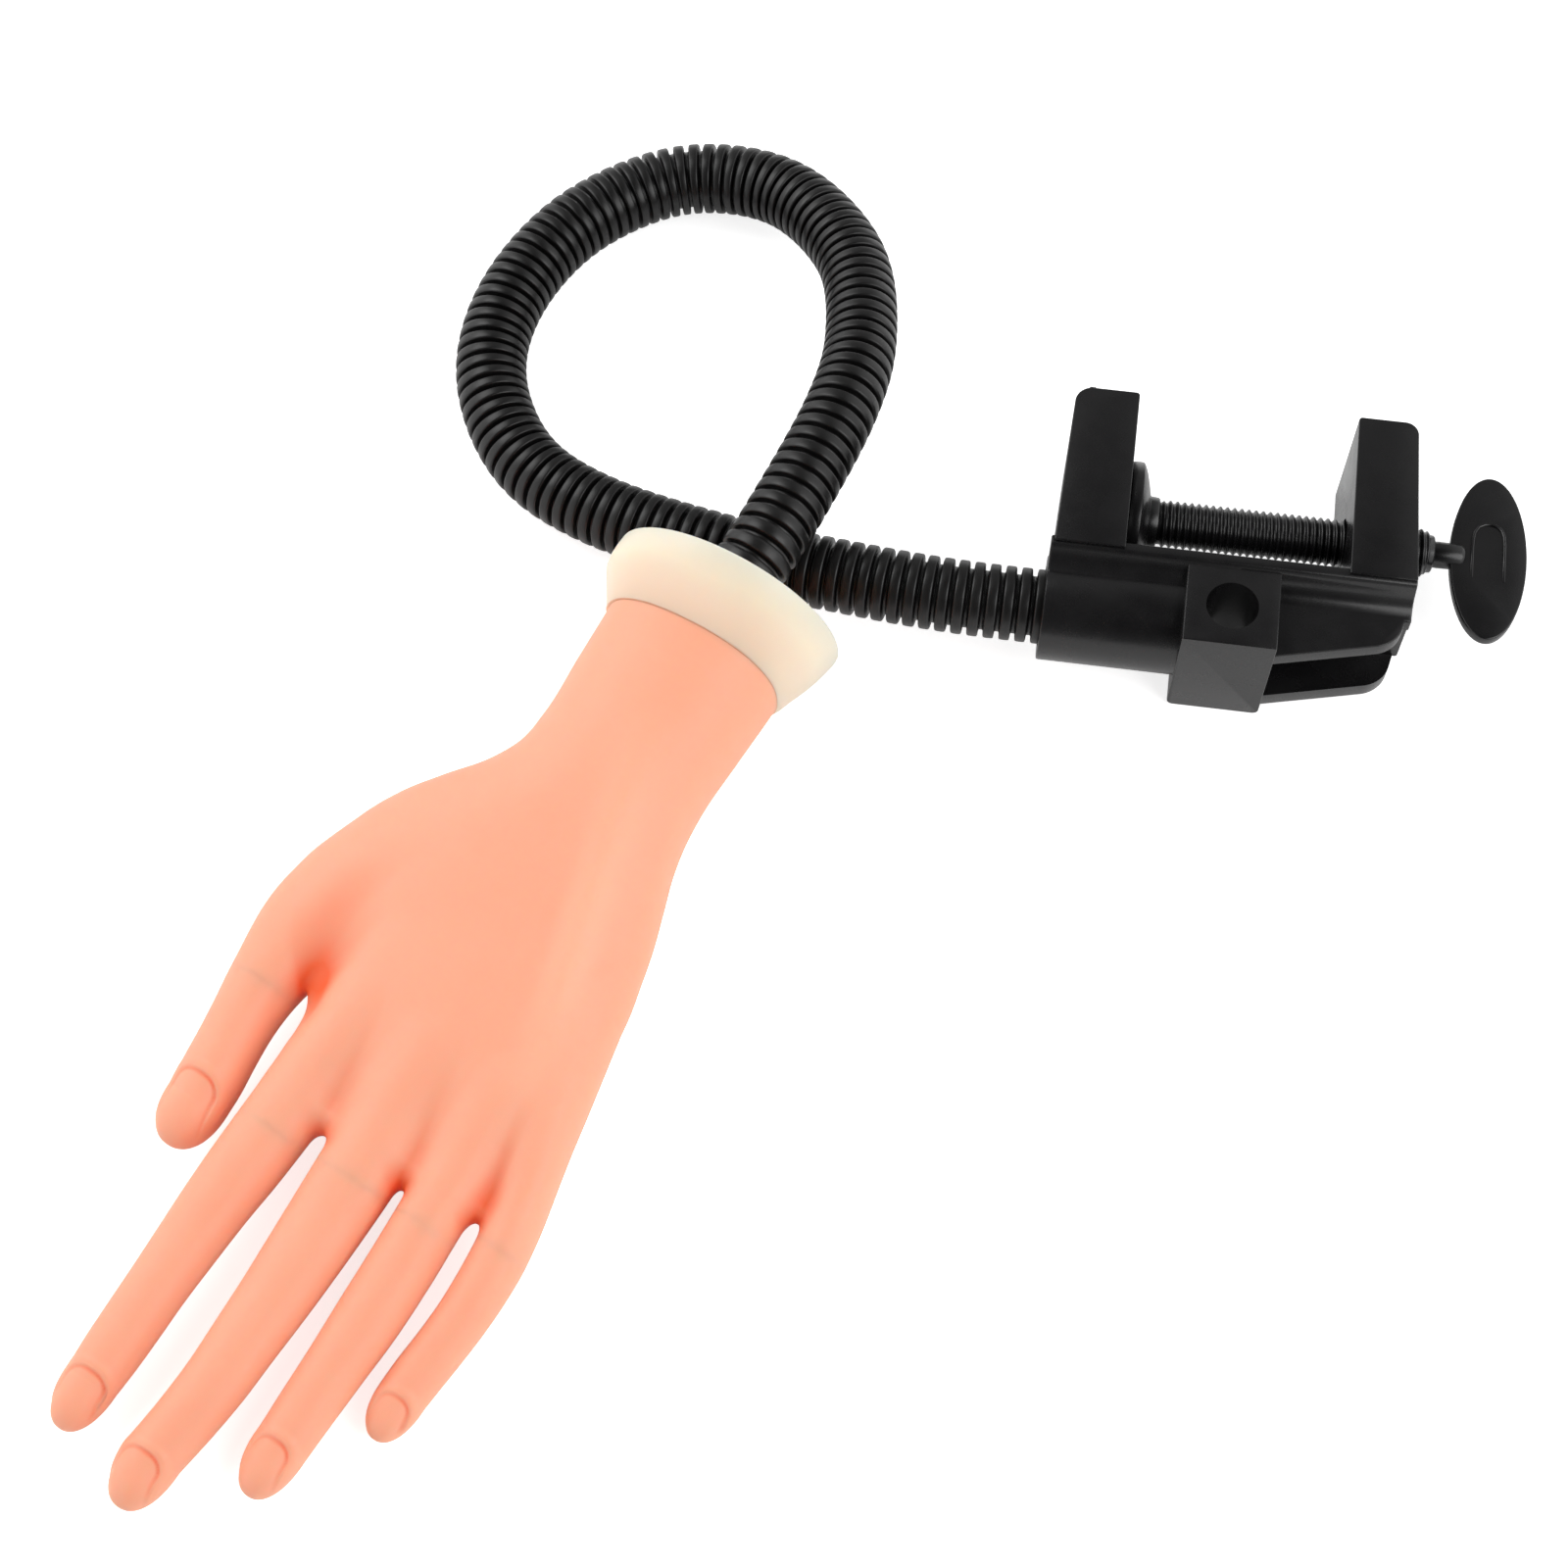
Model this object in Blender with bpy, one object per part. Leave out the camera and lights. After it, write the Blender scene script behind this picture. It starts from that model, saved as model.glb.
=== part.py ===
"""Nail practice hand: a soft left hand on a ribbed gooseneck arm with a table clamp.

Metres, +Z up. The clamp lies on its side, as it does when the hand is laid on a bench, and the
origin is the middle of the fixed jaw's side that it lies on. +X runs along the spine to the thumb
turn, +Y points to the jaw tips. The shapes are laid out from the centre of the fixed jaw's
clamping face, and the whole is moved to the origin at the end.
"""
import math

import bmesh
import bpy
from mathutils import Matrix, Vector

# Clearances and cutting allowances
SEAT_GAP = 0.0003
SCREW_GAP = 0.0004
CUT_OVERRUN = 0.003

# Clamp frame: two jaws on a spine
JAW_OPENING = 0.0573
JAW_LENGTH = 0.0454
FIXED_JAW_THICKNESS = 0.0182
SCREW_JAW_THICKNESS = 0.0172
JAW_TAPER = 0.0016
CLAMP_WIDTH = 0.0375
FIXED_JAW_CORNER = 0.0045
SCREW_JAW_CORNER = 0.0032
INNER_CORNER = 0.0008
SPINE_THICKNESS = 0.0060
SPINE_WIDTH = 0.0330
SPINE_EDGE_ROUND = 0.0016

# Arm socket, accessory block and ribbed tail that stand on the spine
SOCKET_WALL = 0.0036
SOCKET_DEPTH = 0.0180
SOCKET_LIP = 0.0005
SOCKET_SETBACK = 0.0116
BLOCK_OFFSET = 0.0164
BLOCK_LENGTH = 0.0240
BLOCK_REACH = 0.0255
BLOCK_TOP_STEP = 0.00225
BLOCK_ROUND = 0.0014
BLOCK_HOLE_DIAMETER = 0.0134
BLOCK_HOLE_SETBACK = 0.0143
TAIL_WIDTH = 0.0265
TAIL_DROP = 0.00275
TAIL_PLATE = 0.0052
TAIL_EDGE_ROUND = 0.0026
TAIL_ROOT_REACH = 0.0242
TAIL_END_REACH = 0.0163
TAIL_CORNER = 0.0070
TAIL_POCKET_SETBACK = 0.0078

# Clamping screw, pressure pad and thumb turn
SCREW_DIAMETER = 0.0126
PAD_ROOT_GAP = 0.0022
SCREW_TIP_DIAMETER = 0.0096
SCREW_STAND_OUT = 0.0045
SCREW_CHAMFER = 0.0007
PAD_DIAMETER = 0.0310
PAD_RIM = 0.0036
PAD_BACK_DIAMETER = 0.0215
PAD_BACK = 0.0034
PAD_HUB_DIAMETER = 0.0140
PAD_HUB = 0.0026
PAD_SOCKET_FLOOR = 0.0030
NECK_COLLAR_DIAMETER = 0.0086
NECK_COLLAR_LENGTH = 0.0028
NECK_DIAMETER = 0.0068
NECK_LENGTH = 0.0080
TURN_LENGTH = 0.0490
TURN_BREADTH = 0.0200
TURN_THICKNESS = 0.0030
TURN_EDGE_ROUND = 0.0007
TURN_EMBOSS_LENGTH = 0.0160
TURN_EMBOSS_BREADTH = 0.0092
TURN_EMBOSS_WALL = 0.0006
TURN_EMBOSS_HEIGHT = 0.0004
TURN_ARCH_SHARE = 0.98

# Gooseneck arm: ribbed sleeve round a chain of ball links
SLEEVE_DIAMETER = 0.0194
SLEEVE_GROOVE_SHARE = 0.0670
SLEEVE_WALL_SHARE = 0.0825
RIB_PITCH = 0.0038
BEND_LIP = 0.0030
BEND_SEAT_SETBACK = 0.0046
BEND_COLLAR = 0.0034
LINK_CLEARANCE = 0.0007
LINK_CUP_DIAMETER = 0.0094
LINK_BALL_DIAMETER = 0.0064
LINK_CAVITY_DIAMETER = 0.0073
LINK_NECK_DIAMETER = 0.0040
LINK_NECK_ROOT = 0.0003
LINK_CUP_LIP = 0.0010
LINK_CUP_LENGTH = 0.0060
LINK_SHOULDER = 0.0095
ARM_SIDES = 8
LOOP_SPAN = 0.1600
# Route of the loop from the socket mouth to the wrist, in shares of the loop's span
ROUTE_SHARES = [
    (-0.150, 0.002, -0.001),
    (-0.303, 0.016, -0.008),
    (-0.530, 0.050, -0.024),
    (-0.762, 0.116, -0.045),
    (-0.903, 0.209, -0.055),
    (-0.981, 0.366, -0.056),
    (-0.969, 0.538, -0.056),
    (-0.876, 0.705, -0.056),
    (-0.715, 0.813, -0.054),
    (-0.535, 0.794, -0.032),
    (-0.399, 0.640, 0.020),
    (-0.354, 0.444, 0.070),
    (-0.368, 0.258, 0.109),
]
WRIST_SHARE = (-0.495, -0.092, 0.101)
BEND_SHARES = (0.105, 0.255, 0.405, 0.555, 0.705, 0.850)

# Hand: one soft moulding, cut at the knuckles where its wires bend
HAND_HEADING = math.radians(245.2)
HAND_DROOP = math.radians(7.0)
CUFF_LENGTH = 0.0215
CUFF_RIM_DIAMETER = 0.0648
CUFF_WALL = 0.0028
CUFF_SEAT = 0.0115
# Cuff sections: place along the cuff, change from rim to wrist, share of the wall outside
CUFF_OUTER_SHARES = [(0.00, 0.00, 0.00), (0.38, 0.30, 0.00), (0.76, 1.00, 1.45), (1.00, 1.00, 0.60)]
CUFF_BORE_SHARE = 0.25
PLUG_FLANGE_DIAMETER = 0.0380
PLUG_FLANGE = 0.0045
PLUG_DIAMETER = 0.0300
PLUG_LENGTH = 0.0400
PLUG_BORE_DEPTH = 0.0310
PLUG_SETBACK = 0.0050
HAND_LENGTH = 0.2665
WRIST_WIDTH_SHARE = 0.1876
WRIST_THICKNESS_SHARE = 0.1576
PALM_LENGTH_SHARE = 0.6079
PALM_END_SKEW_SHARE = 0.0413
PALM_END_FLAT_SHARE = 0.25
PALM_SIDES = 28
PALM_SQUARENESS = 2.25
PALM_SKEW_POWER = 6
# Palm sections: place along the palm, thumb edge, little-finger edge, thickness, height
PALM_SECTION_SHARES = [
    (0.000, -0.490, 0.510, 1.000, 0.000),
    (0.074, -0.488, 0.512, 0.980, 0.007),
    (0.185, -0.456, 0.516, 0.930, 0.031),
    (0.278, -0.422, 0.520, 0.900, 0.061),
    (0.346, -0.444, 0.548, 0.880, 0.061),
    (0.432, -0.654, 0.638, 0.880, 0.031),
    (0.525, -0.884, 0.730, 0.850, 0.007),
    (0.617, -1.008, 0.794, 0.800, 0.000),
    (0.680, -1.048, 0.838, 0.745, 0.009),
    (0.735, -1.020, 0.868, 0.700, 0.018),
    (0.785, -0.820, 0.894, 0.650, 0.031),
    (0.827, -0.580, 0.924, 0.600, 0.048),
    (0.895, -0.560, 0.968, 0.545, 0.061),
    (0.951, -0.556, 1.004, 0.490, 0.061),
    (0.985, -0.540, 1.000, 0.420, 0.061),
    (1.000, -0.510, 0.980, 0.340, 0.061),
]
PALM_START = 0.0100
FINGER_SIDES = 16
FINGER_SQUARENESS = 2.1
FINGER_CAP_SHARE = 0.066
FINGER_WAIST_SHARE = 0.750
FINGER_RING_SHARES = (0.00, 0.12, 0.25, 0.40, 0.55, 0.70, 0.82)
KNUCKLE_DIAMETER = 0.0280
THUMB_KNUCKLE_DIAMETER = 0.0320
# Fingers from thumb to little, in shares of the hand length: centres of root and tip, breadth and
# height at both, the sideways bow at mid-length, the knuckle's place, and the borders between them
FINGER_NAMES = ("thumb", "index", "middle", "ring", "little")
FINGER_ROOT_SHARES = [
    (0.4053, -0.1445, -0.0019),
    (0.5553, -0.0668, 0.0075),
    (0.5553, 0.0158, 0.0075),
    (0.5553, 0.0961, 0.0075),
    (0.5253, 0.1407, 0.0038),
]
FINGER_TIP_SHARES = [
    (0.7223, -0.1418, -0.0038),
    (0.9745, -0.0713, 0.0094),
    (1.0000, 0.0113, 0.0135),
    (0.9343, 0.1032, 0.0053),
    (0.8410, 0.1636, -0.0098),
]
ROOT_SECTION_SHARES = [
    (0.1126, 0.1126), (0.0750, 0.0735), (0.0758, 0.0743), (0.0690, 0.0713), (0.0600, 0.0645)]
TIP_SECTION_SHARES = [
    (0.0675, 0.0563), (0.0578, 0.0525), (0.0570, 0.0518), (0.0518, 0.0495), (0.0435, 0.0420)]
FINGER_BOW_SHARES = (-0.0113, -0.0053, 0.0023, -0.0008, 0.0150)
KNUCKLE_SHARES = (0.5028, 0.6004, 0.6041, 0.5966, 0.5741)
FINGER_BORDER_SHARES = (-0.2627, -0.1088, -0.0270, 0.0600, 0.1336, 0.2627)
WIRE_DIAMETER = 0.0026
WIRE_TIP_SETBACK = 0.0160
WIRE_END_SETBACK = 0.0008
HUB_DIAMETER = 0.0260
HUB_THICKNESS = 0.0030
HUB_SPREAD = 0.0185

# Places that follow from the sizes above
WRIST_WIDTH = WRIST_WIDTH_SHARE * HAND_LENGTH
WRIST_THICKNESS = WRIST_THICKNESS_SHARE * HAND_LENGTH
PALM_LENGTH = PALM_LENGTH_SHARE * HAND_LENGTH
PALM_END_SKEW = PALM_END_SKEW_SHARE * HAND_LENGTH
JAW_ROOT_Y = -JAW_LENGTH / 2
SOCKET_RADIUS = SLEEVE_DIAMETER / 2 + SEAT_GAP + SOCKET_WALL
SOCKET_AXIS_Y = JAW_ROOT_Y - SOCKET_SETBACK
SOCKET_MOUTH = Vector((-FIXED_JAW_THICKNESS - SOCKET_LIP, SOCKET_AXIS_Y, 0))
SCREW_AXIS_Y = JAW_ROOT_Y + PAD_DIAMETER / 2 + PAD_ROOT_GAP
SCREW_JAW_OUTER = JAW_OPENING + SCREW_JAW_THICKNESS
PAD_BACK_X = SEAT_GAP + PAD_RIM + PAD_BACK + PAD_HUB
SCREW_TIP_X = SEAT_GAP + PAD_SOCKET_FLOOR + SEAT_GAP
SCREW_END_X = SCREW_JAW_OUTER + SCREW_STAND_OUT
NECK_END_X = SCREW_END_X + NECK_COLLAR_LENGTH + NECK_LENGTH
TURN_CENTRE_X = SCREW_END_X + NECK_COLLAR_LENGTH + NECK_LENGTH / 2 + TURN_BREADTH / 2
SLEEVE_GROOVE = SLEEVE_GROOVE_SHARE * SLEEVE_DIAMETER
BORE_RADIUS = SLEEVE_DIAMETER / 2 - SLEEVE_GROOVE - SLEEVE_WALL_SHARE * SLEEVE_DIAMETER
PLUG_FRONT = PLUG_SETBACK + PLUG_FLANGE + PLUG_LENGTH
HUB_FRONT = PLUG_FRONT + SEAT_GAP + HUB_THICKNESS


def clear_scene():
    for item in list(bpy.data.objects):
        bpy.data.objects.remove(item, do_unlink=True)


def make_material(name, colour, roughness, metallic=0.0):
    material = bpy.data.materials.new(name)
    material.use_nodes = True
    shader = material.node_tree.nodes["Principled BSDF"]
    shader.inputs["Base Color"].default_value = (*colour, 1.0)
    shader.inputs["Roughness"].default_value = roughness
    shader.inputs["Metallic"].default_value = metallic
    material.diffuse_color = (*colour, 1.0)
    return material


def add_object(name, shape, material=None, parent=None):
    """Turns a bmesh into an object with its faces pointing out."""
    bmesh.ops.recalc_face_normals(shape, faces=shape.faces)
    mesh = bpy.data.meshes.new(name)
    shape.to_mesh(mesh)
    shape.free()
    mesh.shade_smooth()
    mesh.set_sharp_from_angle(angle=math.radians(35))
    item = bpy.data.objects.new(name, mesh)
    bpy.context.collection.objects.link(item)
    if material:
        mesh.materials.append(material)
    if parent:
        item.parent = parent
    return item


def add_cutter(name, shape, parent=None):
    cutter = add_object(name, shape, parent=parent)
    cutter.hide_render = True
    cutter.display_type = "WIRE"
    return cutter


def combine(item, tool, operation, solver="EXACT"):
    modifier = item.modifiers.new(operation.lower() + "_" + tool.name, "BOOLEAN")
    modifier.operation = operation
    modifier.solver = solver
    modifier.object = tool
    tool.hide_render = True
    tool.display_type = "WIRE"


def bake(item):
    """Applies the object's modifiers, so that its mesh can be cut again by others."""
    bpy.context.view_layer.update()
    graph = bpy.context.evaluated_depsgraph_get()
    mesh = bpy.data.meshes.new_from_object(item.evaluated_get(graph))
    item.modifiers.clear()
    item.data = mesh


def skin_rings(shape, rings, looped=False):
    """Joins rings of equal point count, and caps both ends unless the rings close on themselves."""
    loops = [[shape.verts.new(point) for point in ring] for ring in rings]
    pairs = list(zip(loops, loops[1:]))
    if looped:
        pairs.append((loops[-1], loops[0]))
    for first, second in pairs:
        count = len(first)
        for i in range(count):
            j = (i + 1) % count
            shape.faces.new((first[i], first[j], second[j], second[i]))
    if not looped:
        shape.faces.new(loops[0])
        shape.faces.new(loops[-1])


def turned(profile, sides, axis_point, looped=False):
    """A turned solid along +X from (place, radius) pairs."""
    shape = bmesh.new()
    rings = []
    for place, radius in profile:
        ring = []
        for i in range(sides):
            angle = 2 * math.pi * (i + 0.5) / sides
            ring.append(axis_point + Vector((place, radius * math.cos(angle), radius * math.sin(angle))))
        rings.append(ring)
    skin_rings(shape, rings, looped)
    return shape


def prism(outline, low, high, axes="xyz"):
    """Extrudes a plane outline; axes names the outline's two directions and then the extrusion's."""
    order = ["xyz".index(letter) for letter in axes]
    rings = []
    for level in (low, high):
        ring = []
        for first, second in outline:
            point = Vector((0, 0, 0))
            point[order[0]] = first
            point[order[1]] = second
            point[order[2]] = level
            ring.append(point)
        rings.append(ring)
    shape = bmesh.new()
    skin_rings(shape, rings)
    return shape


def rounded(corners, steps=4):
    """Replaces each (x, y, radius) corner of an outline with an arc."""
    outline = []
    for i, (x, y, radius) in enumerate(corners):
        corner = Vector((x, y))
        if not radius:
            outline.append(corner)
            continue
        before = (Vector(corners[i - 1][:2]) - corner).normalized()
        after = (Vector(corners[(i + 1) % len(corners)][:2]) - corner).normalized()
        half = before.angle(after) / 2
        centre = corner + (before + after).normalized() * radius / math.sin(half)
        start = corner + before * radius / math.tan(half) - centre
        end = corner + after * radius / math.tan(half) - centre
        for k in range(steps + 1):
            arm = start.lerp(end, k / steps)
            outline.append(centre + arm.normalized() * radius)
    return outline


def circle(centre_x, centre_y, radius, sides):
    points = []
    for i in range(sides):
        angle = 2 * math.pi * (i + 0.5) / sides
        points.append((centre_x + radius * math.cos(angle), centre_y + radius * math.sin(angle)))
    return points


def ball(centre, radius, segments, rings, name):
    shape = bmesh.new()
    bmesh.ops.create_uvsphere(shape, u_segments=segments, v_segments=rings, radius=radius)
    bmesh.ops.translate(shape, verts=shape.verts, vec=centre)
    return add_cutter(name, shape)


# Clamp

def jaw_outline(inner_x, outer_x, corner):
    """One jaw in plan, tapered on its outer side towards the tip."""
    side = math.copysign(1, outer_x - inner_x)
    tip = JAW_LENGTH / 2
    root = JAW_ROOT_Y - SPINE_THICKNESS / 2
    return rounded([
        (inner_x, root, 0),
        (inner_x, tip, INNER_CORNER),
        (outer_x - side * JAW_TAPER, tip, corner),
        (outer_x, root, 0),
    ])


def make_clamp_frame(plastic):
    half = CLAMP_WIDTH / 2
    jaw = add_object("clamp_frame", prism(
        jaw_outline(0, -FIXED_JAW_THICKNESS, FIXED_JAW_CORNER), -half, half), plastic)
    screw_jaw = add_cutter("screw_jaw_block", prism(
        jaw_outline(JAW_OPENING, SCREW_JAW_OUTER, SCREW_JAW_CORNER), -half, half))
    spine = add_cutter("spine_block", prism(rounded([
        (JAW_ROOT_Y, -SPINE_WIDTH / 2, 0),
        (JAW_ROOT_Y, SPINE_WIDTH / 2, 0),
        (JAW_ROOT_Y - SPINE_THICKNESS, SPINE_WIDTH / 2, SPINE_EDGE_ROUND),
        (JAW_ROOT_Y - SPINE_THICKNESS, -SPINE_WIDTH / 2, SPINE_EDGE_ROUND),
    ]), SOCKET_MOUTH.x + SOCKET_LIP / 2, SCREW_JAW_OUTER + SOCKET_LIP / 4, axes="yzx"))
    socket = add_cutter("socket_block", turned(
        [(SOCKET_MOUTH.x, SOCKET_RADIUS), (BLOCK_OFFSET + BLOCK_LENGTH / 2, SOCKET_RADIUS)],
        24, Vector((0, SOCKET_AXIS_Y, 0))))
    block = add_cutter("accessory_block", prism(rounded([
        (JAW_ROOT_Y - SPINE_THICKNESS / 6, -half, 0),
        (JAW_ROOT_Y - SPINE_THICKNESS / 6, half - BLOCK_TOP_STEP, 0),
        (JAW_ROOT_Y - BLOCK_REACH, half - BLOCK_TOP_STEP, BLOCK_ROUND / 2),
        (JAW_ROOT_Y - BLOCK_REACH, -half, BLOCK_ROUND),
    ]), BLOCK_OFFSET, BLOCK_OFFSET + BLOCK_LENGTH, axes="yzx"))
    tail = add_cutter("tail_block", prism(
        tail_outline(), -TAIL_DROP - TAIL_WIDTH / 2, -TAIL_DROP + TAIL_WIDTH / 2))
    tail_edge = tail.modifiers.new("rounded_edge", "BEVEL")
    tail_edge.width = TAIL_EDGE_ROUND
    tail_edge.segments = 2
    for piece in (screw_jaw, spine, socket, block, tail):
        combine(jaw, piece, "UNION")
    for opening in clamp_openings():
        combine(jaw, opening, "DIFFERENCE")
    return jaw


def tail_outline():
    """The tail in plan: its front edge runs back towards the screw jaw and turns up to it."""
    start = BLOCK_OFFSET + BLOCK_LENGTH / 2
    return rounded([
        (start, JAW_ROOT_Y - SPINE_THICKNESS / 2, 0),
        (start, JAW_ROOT_Y - TAIL_ROOT_REACH, 0),
        (BLOCK_OFFSET + BLOCK_LENGTH, JAW_ROOT_Y - TAIL_ROOT_REACH, 0),
        (SCREW_JAW_OUTER - TAIL_CORNER / 2, JAW_ROOT_Y - TAIL_END_REACH, TAIL_CORNER),
        (SCREW_JAW_OUTER, JAW_ROOT_Y - SPINE_THICKNESS / 2, 0),
    ])


def clamp_openings():
    bore = SLEEVE_DIAMETER / 2 + SEAT_GAP
    sleeve_bore = turned([(SOCKET_MOUTH.x - CUT_OVERRUN, bore), (SOCKET_MOUTH.x + SOCKET_DEPTH, bore)],
                         24, Vector((0, SOCKET_AXIS_Y, 0)))
    hole = SCREW_DIAMETER / 2 + SCREW_GAP
    screw_bore = turned([(JAW_OPENING - CUT_OVERRUN, hole), (SCREW_JAW_OUTER + CUT_OVERRUN, hole)],
                        24, Vector((0, SCREW_AXIS_Y, 0)))
    pin_hole = prism(circle(BLOCK_OFFSET + BLOCK_LENGTH / 2, JAW_ROOT_Y - BLOCK_HOLE_SETBACK,
                            BLOCK_HOLE_DIAMETER / 2, 24),
                     -CLAMP_WIDTH / 2 - CUT_OVERRUN, CLAMP_WIDTH / 2 + CUT_OVERRUN)
    pocket = TAIL_WIDTH / 2 - TAIL_PLATE
    tail_pocket = prism([
        (BLOCK_OFFSET + BLOCK_LENGTH, JAW_ROOT_Y - TAIL_POCKET_SETBACK),
        (BLOCK_OFFSET + BLOCK_LENGTH, JAW_ROOT_Y - BLOCK_REACH - CUT_OVERRUN),
        (SCREW_JAW_OUTER + CUT_OVERRUN, JAW_ROOT_Y - BLOCK_REACH - CUT_OVERRUN),
        (SCREW_JAW_OUTER + CUT_OVERRUN, JAW_ROOT_Y - TAIL_POCKET_SETBACK),
    ], -TAIL_DROP - pocket, -TAIL_DROP + pocket)
    return [add_cutter("arm_socket_bore", sleeve_bore), add_cutter("screw_bore", screw_bore),
            add_cutter("accessory_hole", pin_hole), add_cutter("tail_pocket", tail_pocket)]


def make_pressure_pad(plastic):
    """A disc with a stepped back and a blind socket that the screw's tip turns in."""
    rim = PAD_DIAMETER / 2
    back = PAD_BACK_DIAMETER / 2
    hub = PAD_HUB_DIAMETER / 2
    hole = SCREW_TIP_DIAMETER / 2 + SEAT_GAP
    floor = SEAT_GAP + PAD_SOCKET_FLOOR
    profile = [
        (SEAT_GAP, rim), (SEAT_GAP + PAD_RIM, rim),
        (SEAT_GAP + PAD_RIM + PAD_BACK / 2, (rim + back) / 2 + PAD_BACK / 6),
        (SEAT_GAP + PAD_RIM + PAD_BACK, back), (SEAT_GAP + PAD_RIM + PAD_BACK, hub),
        (PAD_BACK_X, hub),
    ]
    pad = add_object("pressure_pad", turned(profile, 32, Vector((0, SCREW_AXIS_Y, 0))), plastic)
    socket = add_cutter("pad_socket", turned(
        [(floor, hole), (PAD_BACK_X + CUT_OVERRUN, hole)], 24, Vector((0, SCREW_AXIS_Y, 0))))
    combine(pad, socket, "DIFFERENCE")
    return pad


def make_clamp_screw(plastic):
    """The screw from its smooth tip in the pad to the neck that carries the thumb turn."""
    body = SCREW_DIAMETER / 2
    tip = SCREW_TIP_DIAMETER / 2
    collar = NECK_COLLAR_DIAMETER / 2
    neck = NECK_DIAMETER / 2
    thread_start = PAD_BACK_X + SEAT_GAP
    profile = [
        (SCREW_TIP_X, tip - SCREW_CHAMFER), (SCREW_TIP_X + SCREW_CHAMFER, tip),
        (thread_start, tip), (thread_start + SCREW_CHAMFER, body),
        (SCREW_END_X - SCREW_CHAMFER, body), (SCREW_END_X, collar),
        (SCREW_END_X + NECK_COLLAR_LENGTH, collar), (SCREW_END_X + NECK_COLLAR_LENGTH, neck),
        (NECK_END_X - neck / 2, neck), (NECK_END_X, neck / 2),
    ]
    return add_object("clamp_screw", turned(profile, 24, Vector((0, SCREW_AXIS_Y, 0))), plastic)


def make_thumb_turn(plastic):
    """The oval plate, slotted for the screw's neck, with a raised loop on its upper face."""
    outline = []
    for i in range(40):
        angle = 2 * math.pi * i / 40
        outline.append((TURN_CENTRE_X + TURN_BREADTH / 2 * math.cos(angle),
                        SCREW_AXIS_Y + TURN_LENGTH / 2 * math.sin(angle)))
    plate = add_object("thumb_turn", prism(outline, -TURN_THICKNESS / 2, TURN_THICKNESS / 2), plastic)
    edge = plate.modifiers.new("rounded_edge", "BEVEL")
    edge.width = TURN_EDGE_ROUND
    edge.segments = 1
    outer = emboss_outline(0)
    inner = emboss_outline(TURN_EMBOSS_WALL)
    rim = bmesh.new()
    top = TURN_THICKNESS / 2 + TURN_EMBOSS_HEIGHT
    rings = []
    for points, level in ((outer, 0), (outer, top), (inner, top), (inner, 0)):
        rings.append([Vector((x, y, level)) for x, y in points])
    skin_rings(rim, rings, looped=True)
    combine(plate, add_cutter("turn_emboss", rim), "UNION")
    slot_radius = NECK_DIAMETER / 2 + SEAT_GAP
    neck_slot = turned([(SCREW_END_X, slot_radius), (NECK_END_X + SEAT_GAP, slot_radius)],
                       24, Vector((0, SCREW_AXIS_Y, 0)))
    combine(plate, add_cutter("turn_neck_slot", neck_slot), "DIFFERENCE")
    return plate


def emboss_outline(inset):
    half_breadth = TURN_EMBOSS_BREADTH / 2 - inset
    half_length = TURN_EMBOSS_LENGTH / 2 - inset
    centre_x = TURN_CENTRE_X + TURN_BREADTH / 8
    return rounded([
        (centre_x - half_breadth, SCREW_AXIS_Y - half_length, half_breadth / 2),
        (centre_x + half_breadth, SCREW_AXIS_Y - half_length, half_breadth / 2),
        (centre_x + half_breadth, SCREW_AXIS_Y + half_length, half_breadth * TURN_ARCH_SHARE),
        (centre_x - half_breadth, SCREW_AXIS_Y + half_length, half_breadth * TURN_ARCH_SHARE),
    ])


# Gooseneck arm

class Route:
    """A smooth curve through chosen points, read by distance from the socket mouth."""

    def __init__(self, points, origin_index, steps=12):
        self.points = []
        for i in range(len(points) - 1):
            ends = [points[max(i - 1, 0)], points[i], points[i + 1], points[min(i + 2, len(points) - 1)]]
            for k in range(steps):
                self.points.append(catmull_rom(ends, k / steps))
        self.points.append(points[-1])
        self.lengths = [0.0]
        for first, second in zip(self.points, self.points[1:]):
            self.lengths.append(self.lengths[-1] + (second - first).length)
        start = self.lengths[origin_index * steps]
        self.lengths = [length - start for length in self.lengths]
        self.end = self.lengths[-1]

    def at(self, distance):
        index = 0
        while index < len(self.lengths) - 2 and self.lengths[index + 1] < distance:
            index += 1
        low, high = self.lengths[index], self.lengths[index + 1]
        share = (distance - low) / (high - low)
        return self.points[index].lerp(self.points[index + 1], share)

    def frame(self, distance):
        """The point, the direction, and the two directions across the arm."""
        step = RIB_PITCH / 4
        along = (self.at(distance + step) - self.at(distance - step)).normalized()
        side = Vector((0, 0, 1)).cross(along).normalized()
        return self.at(distance), along, side, along.cross(side)

    def ring(self, distance, radius):
        centre, _, side, up = self.frame(distance)
        ring = []
        for i in range(ARM_SIDES):
            angle = 2 * math.pi * (i + 0.5) / ARM_SIDES
            ring.append(centre + radius * (math.cos(angle) * side + math.sin(angle) * up))
        return ring


def catmull_rom(ends, t):
    before, start, end, after = ends
    return 0.5 * (2 * start + (end - before) * t + (2 * before - 5 * start + 4 * end - after) * t ** 2
                  + (3 * start - before - 3 * end + after) * t ** 3)


def arm_route(hand_frame):
    points = [SOCKET_MOUTH + Vector((SOCKET_DEPTH, 0, 0)), SOCKET_MOUTH.copy()]
    points += [SOCKET_MOUTH + Vector(share) * LOOP_SPAN for share in ROUTE_SHARES]
    bore_end = PLUG_SETBACK + PLUG_BORE_DEPTH
    for place in (-SLEEVE_DIAMETER, 0, bore_end):
        points.append(hand_frame @ Vector((place, 0, 0)))
    return Route(points, 1)


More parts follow.
